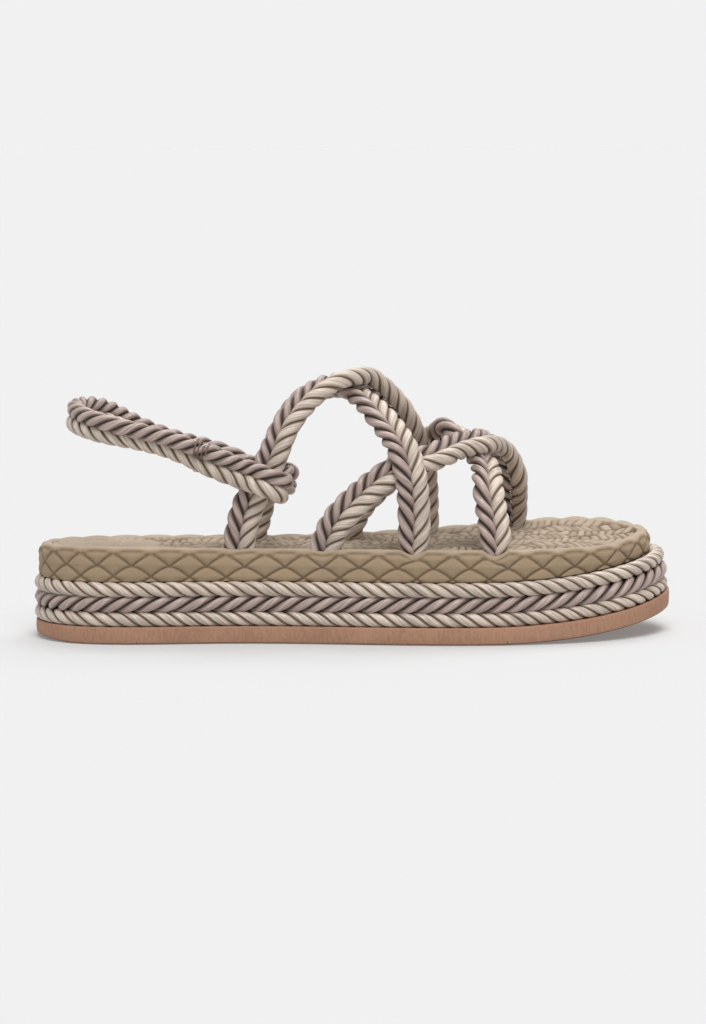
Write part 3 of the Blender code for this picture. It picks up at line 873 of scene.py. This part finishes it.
def close_mesh(piece, fill=False, sharp=60.0):
    """Merges seams, fills open ends if asked, turns faces outwards and shades smoothly."""
    select_only(piece)
    bpy.ops.object.mode_set(mode="EDIT")
    bpy.ops.mesh.select_all(action="SELECT")
    bpy.ops.mesh.remove_doubles(threshold=MERGE_DISTANCE)
    bpy.ops.mesh.dissolve_degenerate(threshold=SHORTEST_EDGE)
    if fill:
        bpy.ops.mesh.select_all(action="SELECT")
        bpy.ops.mesh.fill_holes(sides=0)
    bpy.ops.mesh.select_all(action="SELECT")
    bpy.ops.mesh.normals_make_consistent(inside=False)
    bpy.ops.object.mode_set(mode="OBJECT")
    bpy.ops.object.shade_smooth_by_angle(angle=math.radians(sharp))


def join_pieces(name, pieces):
    """Joins pieces into one object that keeps their materials."""
    select_only(*pieces)
    bpy.ops.object.join()
    pieces[0].name = pieces[0].data.name = name
    return pieces[0]


def hand_over(piece, slot, *nodes):
    """Lets a finished piece ride on the sandal and stand for its solids."""
    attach(piece, BODY)
    if nodes:
        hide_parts(*nodes)


def rope_section(strand_width):
    """Section of a three-strand rope of radius 1, as (x, y), from groove to groove round its strands."""
    half = math.pi / STRANDS
    deep, wide = STRAND_DEPTH**2, strand_width**2
    square = math.cos(half) ** 2 / deep + math.sin(half) ** 2 / wide
    linear = -2 * STRAND_DISTANCE * math.cos(half) / deep
    rest = STRAND_DISTANCE**2 / deep - 1
    groove = (-linear + math.sqrt(linear**2 - 4 * square * rest)) / (2 * square)
    last = math.acos((groove * math.cos(half) - STRAND_DISTANCE) / STRAND_DEPTH)
    column = np.arange(STRANDS * STRAND_COLUMNS + 1)
    strand = np.minimum(column // STRAND_COLUMNS, STRANDS - 1)
    turn = last * (2 * (column - strand * STRAND_COLUMNS) / STRAND_COLUMNS - 1)
    outward = STRAND_DISTANCE + STRAND_DEPTH * np.cos(turn)
    sideways = strand_width * np.sin(turn)
    middle = 2 * math.pi * strand / STRANDS
    return np.column_stack([
        outward * np.cos(middle) - sideways * np.sin(middle),
        outward * np.sin(middle) + sideways * np.cos(middle),
    ])


def rope(name, line, first, second, radius, turns, twist, phase=0.0, stray=0.0, seed=0.0):
    """A twisted rope along a line, with first and second its section's directions (first x second = forward).

    Its strands stray from an even lay by a share of a turn."""
    length = run_of(line)[-1]
    share = np.linspace(0, 1, len(line))
    wander = stray * (np.sin(6 * np.pi * share + seed) + np.sin(16 * np.pi * share + 2.3 * seed))
    angle = twist * 2 * np.pi * (turns * share + wander) + phase
    section = rope_section(CREAM_STRAND_WIDTH if twist == Z_TWIST else TAUPE_STRAND_WIDTH)
    x, y = section[:, 0], section[:, 1]
    cosine, sine = np.cos(angle)[:, None], np.sin(angle)[:, None]
    radius = np.broadcast_to(radius, len(line))[:, None]
    towards_first = radius * (x * cosine - y * sine)
    towards_second = radius * (x * sine + y * cosine)
    points = sweep(line, first, second, towards_first, towards_second)
    return grid_piece(name, points, (length / (2 * radius.max()), STRANDS))


def interlocked(way, phase):
    """Start angle of one of two cords laid opposite ways, whose strands lie in each other's grooves."""
    return phase if way > 0 else math.pi / STRANDS - phase


def give(piece, finish):
    """A piece with a finish as its only one."""
    piece.data.materials.clear()
    piece.data.materials.append(finish)
    return piece


def filled(piece, finish):
    """A rope or thread with its ends filled and its finish given."""
    close_mesh(piece, fill=True)
    return give(piece, finish)


def tube(name, line, radius, sides=6):
    """A closed thread of one radius along a short line, in millimetres."""
    tangent = unit(np.gradient(line, axis=0))
    helper = np.array([0.0, 0.0, 1.0]) if abs(tangent[0][2]) < 0.9 else np.array([1.0, 0.0, 0.0])
    first = unit(np.cross(tangent, helper))
    second = np.cross(tangent, first)
    angle = np.linspace(0, 2 * np.pi, sides + 1)[None, :]
    points = sweep(line, first, second, radius * np.cos(angle), radius * np.sin(angle))
    return grid_piece(name, points, (1, 1))


class SANDAL_OT_upper_ropes(bpy.types.Operator):
    """Makes the crossed straps, each a taupe and a cream rope side by side."""

    bl_idname = "sandal.upper_ropes"
    bl_label = "Upper ropes"

    def execute(self, context):
        sizes, colours = context.scene.sandal_ropes, context.scene.sandal_colours
        taupe = cord_finish("taupe_strap_cord", colours.taupe, TAUPE_STRAP_GROOVE_SHADE)
        cream = cord_finish("cream_strap_cord", colours.cream, CREAM_GROOVE_SHADE)
        ropes = []
        for number, name in enumerate(STRAPS):
            path, side, outside = strap_path(name)
            run = run_of(path)
            phase = STRAP_PHASE * number
            pinch = np.ones(len(run))
            for share, from_foot in zip(STRAP_PINCHES[name], (run, run[-1] - run)):
                pinch -= share * (1 - ease(STRAP_FOOT_DEPTH, STRAP_FOOT_DEPTH + PINCH_LENGTH, from_foot))
            apart = (pinch * CORD_PRESS * STRAP_CORD_SPACING / 2)[:, None]
            for way, twist, finish in ((-1, S_TWIST, taupe), (1, Z_TWIST, cream)):
                made = rope(
                    f"{name}_{way}", path + side * way * apart, outside, side,
                    STRAP_CORD_RADIUS * CORD_SWELL * np.sqrt(pinch), run[-1] / (sizes.strap_lay / MM), twist,
                    interlocked(way, phase), sizes.unevenness, phase,
                )
                ropes.append(filled(made, finish))
        hand_over(join_pieces("upper_rope_straps", ropes), "strap_cord", "upper_straps")
        return {"FINISHED"}


class SANDAL_OT_heel_ropes(bpy.types.Operator):
    """Makes the heel strap, a taupe rope over a cream one, looped round the rear straps."""

    bl_idname = "sandal.heel_ropes"
    bl_label = "Heel ropes"

    def execute(self, context):
        sizes, colours = context.scene.sandal_ropes, context.scene.sandal_colours
        path, upward, outward = heel_strap_path()
        ropes = []
        for way, twist, name, colour, groove in (
            (1, S_TWIST, "taupe", colours.taupe, TAUPE_STRAP_GROOVE_SHADE),
            (-1, Z_TWIST, "cream", colours.cream, CREAM_GROOVE_SHADE),
        ):
            made = rope(
                f"heel_{name}", path + upward * way * CORD_PRESS * HEEL_CORD_SPACING / 2, outward, upward,
                HEEL_CORD_RADIUS * CORD_SWELL, run_of(path)[-1] / (sizes.heel_lay / MM), twist,
                interlocked(way, HEEL_PHASE), sizes.unevenness, HEEL_PHASE,
            )
            ropes.append(filled(made, cord_finish(f"{name}_heel_cord", colour, groove)))
        hand_over(join_pieces("heel_rope_strap", ropes), "strap_cord", "heel_strap")
        return {"FINISHED"}


class SANDAL_OT_foxing_ropes(bpy.types.Operator):
    """Makes the ropes that are glued round the platform."""

    bl_idname = "sandal.foxing_ropes"
    bl_label = "Foxing ropes"

    def execute(self, context):
        sizes, colours = context.scene.sandal_ropes, context.scene.sandal_colours
        heights, _ = cord_heights()
        for number, ((node, slot, radius), height) in enumerate(zip(CORDS, heights)):
            cream = slot == "cream_cord"
            name, phase = node.replace("cord", "rope"), FOXING_PHASE * number
            loop = outline(int(FOXING_RUN / ROPE_STEP))
            flare = FOXING_FLARE[number] * ease(*FOXING_FLARE_SPAN, loop[:, 0])
            line = inset(loop, radius * FOXING_SWELL - flare)
            line = placed(line, height + spring(line))
            forward = unit(np.roll(line, -1, axis=0) - np.roll(line, 1, axis=0))
            outward = placed(-inward_of(loop) + np.array([ALONG_MIDDLE, 0]), 0.0)
            outward = unit(outward - forward * (outward * forward).sum(axis=1)[:, None])
            upward = np.cross(forward, outward)
            line, outward, upward = (np.vstack([part, part[:1]]) for part in (line, outward, upward))
            turns = round(run_of(line)[-1] * MM / (sizes.cream_lay if cream else sizes.taupe_lay))
            made = rope(
                name, line, outward, upward, radius * FOXING_SWELL, turns, Z_TWIST if cream else S_TWIST,
                phase, sizes.unevenness, phase,
            )
            close_mesh(made)
            colour, groove = (colours.cream, CREAM_GROOVE_SHADE) if cream else (colours.taupe, TAUPE_GROOVE_SHADE)
            give(made, cord_finish(name, colour, groove))
            hand_over(made, slot, node)
        return {"FINISHED"}


def strap_feet():
    """Rows (x, y, dent) of the straps' feet in the footbed, in millimetres."""
    feet = []
    for name in STRAPS:
        path, _, _ = strap_path(name)
        for end, dent in zip((0, -1), STRAP_DENTS[name]):
            feet.append((path[end][0], path[end][1], dent))
    return feet


def dent(points):
    """How far the straps' feet press points (x, y, z) down."""
    total = np.zeros(points.shape[:-1])
    for x, y, depth in strap_feet():
        notch = np.clip(1 - np.abs((points[..., 0] - x) / FOOT_HALF_LENGTH) ** DENT_POWER, 0, 1)
        inward = np.clip((y - points[..., 1]) * np.sign(y) - FOOT_HALF_WIDTH, 0, None)
        total = np.maximum(total, depth * notch * np.exp(-((inward / DENT_FADE) ** 2)))
    return total


def braid(count, below_rim, lower_row):
    """Distance in millimetres to the nearest edge of the braid's strips on the wall and rim.

    Two edges arch up and down between the middle crossings. Past the far crossings, the upper ones close
    in low arches and the lower ones go on straight."""
    above = BRAID_MIDDLE - below_rim
    sway = sum(size * np.sin(pace * count + start) for size, pace, start in BRAID_SWAY)
    place = (count + sway) % 1
    share = np.minimum(place, 1 - place)
    round_up, round_down = np.sin(np.pi * share), 1 - np.cos(np.pi * share)
    slope_up, slope_down = np.pi * np.cos(np.pi * share), np.pi * np.sin(np.pi * share)
    cap = BRAID_UPPER_ROW + BRAID_CAP * np.cos(np.pi * share)
    edges = [(cap, BRAID_CAP * slope_down), (-lower_row * (2 - 2 * share), 2 * lower_row)]
    for row, arch, slope in ((BRAID_UPPER_ROW, round_up, slope_up), (-lower_row, round_down, slope_down)):
        arched = row * (2 * share + BRAID_ARCH * (arch - 2 * share))
        edges.append((arched, row * (2 + BRAID_ARCH * (slope - 2))))
    distances = [np.abs(above - height) / np.hypot(1, steep / BRAID_PITCH) for height, steep in edges]
    return np.min(distances, axis=0)


def scatter(first, second):
    """A fixed number from 0 to 1 for each pair of whole numbers."""
    mixed = np.sin(first * 12.9898 + second * 78.233) * 43758.5453
    return mixed - np.floor(mixed)


def plait(x, y, width):
    """Plaited relief on the footbed's top, 0 in a pit and 1 on a strand: rows of leaning, uneven strands."""
    v = y / (2.6 * width) + 0.25 * np.sin(x / 7.0 + 0.9 * np.sin(y / 6.0)) + 0.1 * np.sin(x / 2.9 + y / 4.0)
    row = np.floor(v)
    across = (v - row) * 2 - 1
    lean = np.where(row % 2 == 0, 0.4, -0.4) + 0.6 * (scatter(row, 1.0) - 0.5)
    u = x / width + lean * across + 3 * scatter(row, 3.0) + 0.3 * np.sin(1.9 * v + x / 4.4)
    cell = np.floor(u)
    strand = np.abs((u - cell) * 2 - 1)
    bent = np.clip(np.abs(across + 0.4 * (scatter(row, cell) - 0.5)), 0, 1)
    tall = 0.6 + 0.4 * scatter(cell, row)
    return tall * np.sqrt((1 - 0.97 * strand**3) * (1 - 0.97 * bent**5))


class SANDAL_OT_footbed(bpy.types.Operator):
    """Makes the moulded footbed: a diamond braid round its wall, a scalloped rim and a plaited top."""

    bl_idname = "sandal.footbed"
    bl_label = "Footbed"

    def execute(self, context):
        sizes, colours = context.scene.sandal_footbed, context.scene.sandal_colours
        loop = outline(FOOTBED_DIAMONDS * sizes.columns)
        wall = smooth(FOOTBED_INSET, loop[:, 0])[:, 0]
        rim = rim_height(inset(loop, wall))
        skin, grooves, uppers = self.side(loop, wall, rim, sizes)
        top, shade = self.top(skin[-1], rim, sizes)
        base, _, _ = span(skin[0], 1)
        plain = np.zeros(base.shape[:2])
        pieces = []
        for name, points, uv_scale, groove, upper in (
            ("footbed_side", closed(skin), (10, FOOTBED_DIAMONDS), closed(grooves), closed(uppers)),
            ("footbed_top", top, (10, 4), shade, np.ones(shade.shape)),
            ("footbed_base", base, (10, 4), plain, plain),
        ):
            pieces.append(grid_piece(name, points, uv_scale))
            # groove carries each point's painted shade, in the braid's grooves and the plait's pits
            mark(pieces[-1], groove=groove, upper=upper)
        footbed = join_pieces("moulded_footbed", pieces)
        close_mesh(footbed, sharp=80.0)
        give(footbed, footbed_finish(colours.footbed, colours.insole))
        hand_over(footbed, "footbed_foam", "footbed")
        return {"FINISHED"}

    def scallops(self, face, turn, height):
        """Rise of the rim: full at the toe, about half on the medial side and faint on the lateral side."""
        medial = SCALLOP_MEDIAL_SHARE * ease(*SCALLOP_MEDIAL, face[:, 1])
        free = np.maximum(medial, ease(*SCALLOP_TOE, face[:, 0]))
        pillow = 2 * np.abs(np.cos(np.pi * turn)) ** 0.8 - 1.2
        return height * pillow * (SCALLOP_LEAST + (1 - SCALLOP_LEAST) * free)

    def side(self, loop, wall, rim, sizes):
        """Rings of the wall, its rounded rim and the border, each point's painted shade in the braid's
        grooves, and how far each point is on top.
        """
        face = inset(loop, wall)
        floor = cord_heights()[1] + GAP + spring(face)
        turn = np.interp(np.arange(len(loop)) / sizes.columns, *np.transpose(BRAID_COUNT))
        scallop = self.scallops(face, turn, sizes.scallop / MM)
        rings, grooves, uppers = [], [], []
        braid_row, braid_depth = sizes.braid_row / MM, sizes.braid_depth / MM

        def ring(more, height, below_rim, relief):
            """Adds one ring, inset from the wall by more, with the braid's relief where it reaches."""
            edge = braid(turn, below_rim, braid_row)
            slope = np.clip(1 - edge / BRAID_SLOPE, 0, 1) ** 2
            curve = np.exp(-((edge / BRAID_PILLOW) ** 2))
            sunk = BRAID_SLOPE_SHARE * slope + (1 - BRAID_SLOPE_SHARE) * curve
            rings.append(placed(inset(loop, wall + more + braid_depth * relief * sunk), height))
            # painted shade along the middle of each groove
            grooves.append(relief * (1 - ease(0.0, BRAID_SHADE_LINE, edge)))
            uppers.append(np.full(len(loop), ease(TOP_COLOUR_BEGIN, RIM_ROUNDING, more)))

        ring(BASE_INSET, floor, rim - floor, 0.0)
        for share in WALL_SHARES:
            height = floor + (rim - RIM_ROUNDING - floor) * share
            ring(WALL_FLARE * (1 - share) ** 2, height, rim - height, 1.0)
        for angle in np.radians(RIM_ANGLES):
            above = RIM_ROUNDING * np.sin(angle)
            height = rim - RIM_ROUNDING + above + scallop * np.sin(angle)
            ring(RIM_ROUNDING * (1 - np.cos(angle)), height, RIM_ROUNDING - above, np.cos(angle))
        for more in BORDER_RINGS:
            fade = 1 - ease(RIM_ROUNDING, FOOTBED_BORDER, more)
            drop = BORDER_DROP * ease(*BORDER_DROP_SPAN, more)
            ring(more, rim - drop + scallop * fade, 0.0, 0.0)
        skin = np.array(rings)
        press = ease(*DENT_SPAN, (skin[..., 2] - floor) / (rim - floor))
        skin[..., 2] -= dent(skin) * press
        return skin, np.array(grooves), np.array(uppers)

    def top(self, border, rim, sizes):
        """Grid of the plaited top inside the border, and the painted shade in its pits."""
        points, share, inside = span(border, TOP_COLUMNS)
        pit = self.top_relief(points, inside, sizes.plait_row / MM)
        lateral, medial = halves(rim)
        level = lateral[:, None] * (1 - share) + medial[:, None] * share
        dip = BORDER_DROP + TOP_DIP * ease(0.0, TOP_DIP_WIDTH, inside)
        settled = ease(0.0, TOP_SETTLE, inside)
        height = level - dip - sizes.plait_depth / MM * pit - dent(points)
        points[..., 2] = points[..., 2] * (1 - settled) + height * settled
        return points, np.clip(PIT_SHADE[0] * pit - PIT_SHADE[1], 0, 1) * settled

    def top_relief(self, points, inside, width):
        """Depth of the plaited relief, from 0 to 1; the heel patch has little of it."""
        x, y = points[..., 0], points[..., 1]
        along, across, length, breadth = HEEL_PATCH
        patch = np.clip((x + ALONG_MIDDLE - along) / length, 0, None) ** 4 + ((y - across) / breadth) ** 4
        weave = HEEL_PATCH_WEAVE + (1 - HEEL_PATCH_WEAVE) * ease(*HEEL_PATCH_EDGE, patch)
        return ease(*PLAIT_BEGIN, inside) * weave * (1 - plait(x, y, width))


class SANDAL_OT_outsole(bpy.types.Operator):
    """Makes the crepe outsole, with eased edges and a shallow ribbed tread."""

    bl_idname = "sandal.outsole"
    bl_label = "Outsole"

    def execute(self, context):
        colours = context.scene.sandal_colours
        loop = outline(EDGE_POINTS)
        edge = smooth(OUTSOLE_INSET, loop[:, 0])[:, 0]
        rings = []
        for more, height in EDGE:
            ring = inset(loop, edge + more)
            worn = HEEL_LIFT * (1 - ease(0.0, HEEL_LIFT_END, ring[:, 0])) * (1 - height / OUTSOLE_THICKNESS)
            rings.append(placed(ring, height + spring(ring) + worn))
        skin = np.array(rings)
        swing, swing_width = TREAD_WAVE
        caps = []
        for name, ring, ribs in (("outsole_tread", skin[0], TREAD_DEPTH), ("outsole_top", skin[-1], 0.0)):
            cap, _, inside = span(ring, TREAD_COLUMNS)
            wave = cap[..., 0] + swing * np.sin(cap[..., 1] / swing_width)
            raised = ease(*TREAD_FLANK, np.sin(2 * np.pi * wave / TREAD_PITCH))
            cap[..., 2] += ribs * raised * ease(*TREAD_MARGIN, inside)
            caps.append(grid_piece(name, cap, (10, 4)))
            mark(caps[-1], low=np.zeros(cap.shape[:2]))
        side = grid_piece("outsole_side", closed(skin), (1, 30))
        # low: painted shade along the floor, full at the floor and fading out over the line's height
        mark(side, low=np.repeat(1 - ease(0.0, FLOOR_SHADE_HEIGHT, np.array(EDGE)[:, 1:]), len(loop) + 1, axis=1))
        outsole = join_pieces("crepe_outsole", [side] + caps)
        close_mesh(outsole, sharp=50.0)
        give(outsole, crepe_finish(colours.crepe))
        hand_over(outsole, "crepe_rubber", "outsole")
        return {"FINISHED"}


class SANDAL_OT_midsole(bpy.types.Operator):
    """Gives the platform core its foam finish."""

    bl_idname = "sandal.midsole"
    bl_label = "Midsole"

    def execute(self, context):
        give(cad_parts["midsole"], platform_finish(context.scene.sandal_colours.platform))
        return {"FINISHED"}


class SANDAL_OT_stitches(bpy.types.Operator):
    """Sews the cords of each strap together, with pale stitches on the inner side."""

    bl_idname = "sandal.stitches"
    bl_label = "Stitches"

    def execute(self, context):
        finish = thread_finish("pale_thread", context.scene.sandal_colours.thread)
        step = int(STITCH_STEP / ROPE_STEP)
        along, across, rise = STITCH_REACH
        arc = np.linspace(-1, 1, 5)[:, None]
        stitches = []
        for name in STRAPS:
            path, side, outside = strap_path(name)
            for at in range(3 * step, len(path) - 3 * step, step):
                forward = np.cross(outside[at], side[at])
                middle = path[at] - outside[at] * STITCH_INSIDE
                middle = middle - outside[at] * rise * (1 - arc**2)
                line = middle + arc * (forward * along + side[at] * across)
                stitches.append(filled(tube(f"stitch_{name}_{at}", line, STITCH_RADIUS), finish))
        hand_over(join_pieces("strap_stitches", stitches), "strap_cord")
        return {"FINISHED"}


class SANDAL_OT_threads(bpy.types.Operator):
    """Makes the loose ends: a dark whipping on the heel strap, and pale threads where straps are sewn."""

    bl_idname = "sandal.threads"
    bl_label = "Threads"

    def execute(self, context):
        colours = context.scene.sandal_colours
        finishes = {
            "dark": thread_finish("dark_thread", colours.dark_thread),
            "pale": thread_finish("pale_loose_thread", colours.thread),
        }
        threads = []
        for number, (line, radius, finish) in enumerate(self.whipping() + self.ends()):
            threads.append(filled(tube(f"thread_{number}", line, radius), finishes[finish]))
        hand_over(join_pieces("loose_threads", threads), "strap_cord")
        return {"FINISHED"}

    def heel_place(self, along):
        """Middle of the taupe heel cord on the lateral side, with its forward, upward, outward directions."""
        path, upward, outward = heel_strap_path()
        # The strap's outer run, where the tail inside it faces the other way
        near = np.flatnonzero((path[:, 1] < -20) & (outward[:, 1] < -0.3))
        at = near[np.argmin(np.abs(path[near, 0] + ALONG_MIDDLE - along))]
        forward = np.cross(outward[at], upward[at])
        middle = path[at] + upward[at] * CORD_PRESS * HEEL_CORD_SPACING / 2
        return middle, forward, upward[at], outward[at]

    def whipping(self):
        """Rows (line, radius, finish) of the thread wound round the taupe heel cord, and of its pale tip."""
        middle, forward, upward, outward = self.heel_place(WHIPPING_ALONG)
        turn = np.linspace(0, 2 * np.pi * WHIPPING_TURNS, 90)[:, None]
        reach = HEEL_CORD_RADIUS * CORD_SWELL + 0.1 + 0.15 * np.sin(2.7 * turn)
        round_cord = reach * (np.cos(turn) * outward + np.sin(turn) * upward)
        advance = 0.26 * (turn - np.pi * WHIPPING_TURNS) + 0.5 * np.sin(turn + 0.6)
        wound = middle + forward * advance + round_cord
        arc = np.linspace(0, 1, 6)[:, None]
        tip = middle + outward * 2.2 + upward * (2.6 + 2.2 * arc) - forward * 1.6 * arc**2
        fray = middle + outward * 3.7 + upward * (0.6 - 3.0 * arc) + forward * (1.0 + 0.8 * np.sin(3 * arc))
        return [(wound, WHIPPING_RADIUS, "dark"), (tip, TIP_RADIUS, "pale"), (fray, FRAY_RADIUS, "dark")]

    def ends(self):
        """Rows (line, radius, finish) of the pale threads at the rear crossing."""
        path, side, outside = strap_path("rear_over", CURVE_POINTS)
        top = np.argmax(path[:, 2])
        rows = []
        arc = np.linspace(-1, 1, 6)[:, None]
        for step in THREAD_STEPS:
            at = top + step
            forward = np.cross(outside[at], side[at])
            middle = path[at] - forward * 0.4 + outside[at] * (STRAP_CORD_RADIUS + 0.4 - 0.9 * arc**2)
            rows.append((middle + side[at] * 2.6 * arc + forward * 0.7 * arc, THREAD_RADIUS, "pale"))
        return rows


class SANDAL_OT_stage(bpy.types.Operator):
    """Sets up the pale floor, the soft light and the camera."""

    bl_idname = "sandal.stage"
    bl_label = "Stage"

    def execute(self, context):
        settings = context.scene.sandal_stage
        self.floor(settings)
        world = bpy.data.worlds.new("pale_studio")
        world.use_nodes = True
        wire = Wire(world.node_tree)
        _, _, rise = wire.split(wire.node("ShaderNodeTexCoord"))
        pale, dark = ((grey, grey, grey, 1) for grey in (settings.backdrop, settings.upper_dark))
        link(world.node_tree.nodes["Background"], "Color", rise.between(*BACKDROP_RISE).mix(pale, dark))
        context.scene.world = world
        context.scene.view_settings.view_transform = "Standard"
        for strength, spread, lean in (
            (settings.key_strength, settings.key_spread, settings.key_lean),
            (settings.back_strength, settings.back_spread, settings.back_lean),
        ):
            bpy.ops.object.light_add(type="SUN", location=(0, 0, LIGHT_HEIGHT), rotation=lean)
            light = context.active_object.data
            light.energy = strength
            light.angle = spread
        self.camera(context, settings)
        return {"FINISHED"}

    def floor(self, settings):
        """A pale floor that also gives off a little light."""
        bpy.ops.mesh.primitive_plane_add(size=FLOOR_SIZE, location=(0, 0, FLOOR_HEIGHT))
        floor = bpy.context.active_object
        floor.name = "pale_floor"
        made, shader, _ = new_finish("pale_floor", 0.9, specular=0.0)
        grey = settings.floor_grey
        shader.inputs["Base Color"].default_value = (grey, grey, grey, 1)
        shader.inputs["Emission Color"].default_value = (1, 1, 1, 1)
        shader.inputs["Emission Strength"].default_value = settings.floor_glow
        floor.data.materials.append(made)

    def camera(self, context, settings):
        """A camera on the lateral side, a little above the horizon."""
        aim, rise = settings.aim, settings.camera_height
        reach = settings.camera_distance
        place = (aim[0], aim[1] - reach * math.cos(rise), aim[2] + reach * math.sin(rise))
        bpy.ops.object.camera_add(location=place, rotation=(math.pi / 2 - rise, 0, 0))
        camera = context.active_object
        camera.data.sensor_fit = "AUTO"
        camera.data.sensor_width = SENSOR_WIDTH
        camera.data.lens = settings.lens
        camera.data.clip_start = CLIP_START
        context.scene.camera = camera


GROUPS = {
    "sandal_ropes": RopeSizes,
    "sandal_footbed": FootbedSizes,
    "sandal_colours": Colours,
    "sandal_stage": StageSettings,
}
OPERATORS = (
    SANDAL_OT_outsole, SANDAL_OT_midsole, SANDAL_OT_foxing_ropes, SANDAL_OT_footbed, SANDAL_OT_upper_ropes,
    SANDAL_OT_heel_ropes, SANDAL_OT_stitches, SANDAL_OT_threads, SANDAL_OT_stage,
)


class SANDAL_PT_panel(bpy.types.Panel):
    """Lists the sandal's settings and pieces."""

    bl_idname = "SANDAL_PT_panel"
    bl_label = "Espadrille sandal"
    bl_space_type = "VIEW_3D"
    bl_region_type = "UI"
    bl_category = "Sandal"

    def draw(self, context):
        for group in GROUPS:
            box = self.layout.box()
            settings = getattr(context.scene, group)
            for name in settings.__annotations__:
                box.prop(settings, name)
        for operator in OPERATORS:
            self.layout.operator(operator.bl_idname)


def register():
    for name, group in GROUPS.items():
        bpy.utils.register_class(group)
        setattr(bpy.types.Scene, name, PointerProperty(type=group))
    for made in (*OPERATORS, SANDAL_PT_panel):
        bpy.utils.register_class(made)


def unregister():
    for made in (SANDAL_PT_panel, *OPERATORS):
        bpy.utils.unregister_class(made)
    for name, group in GROUPS.items():
        delattr(bpy.types.Scene, name)
        bpy.utils.unregister_class(group)


def main():
    register()
    bpy.ops.sandal.outsole()
    bpy.ops.sandal.midsole()
    bpy.ops.sandal.foxing_ropes()
    bpy.ops.sandal.footbed()
    bpy.ops.sandal.upper_ropes()
    bpy.ops.sandal.heel_ropes()
    bpy.ops.sandal.stitches()
    bpy.ops.sandal.threads()
    bpy.ops.sandal.stage()


if __name__ == "__main__":
    main()
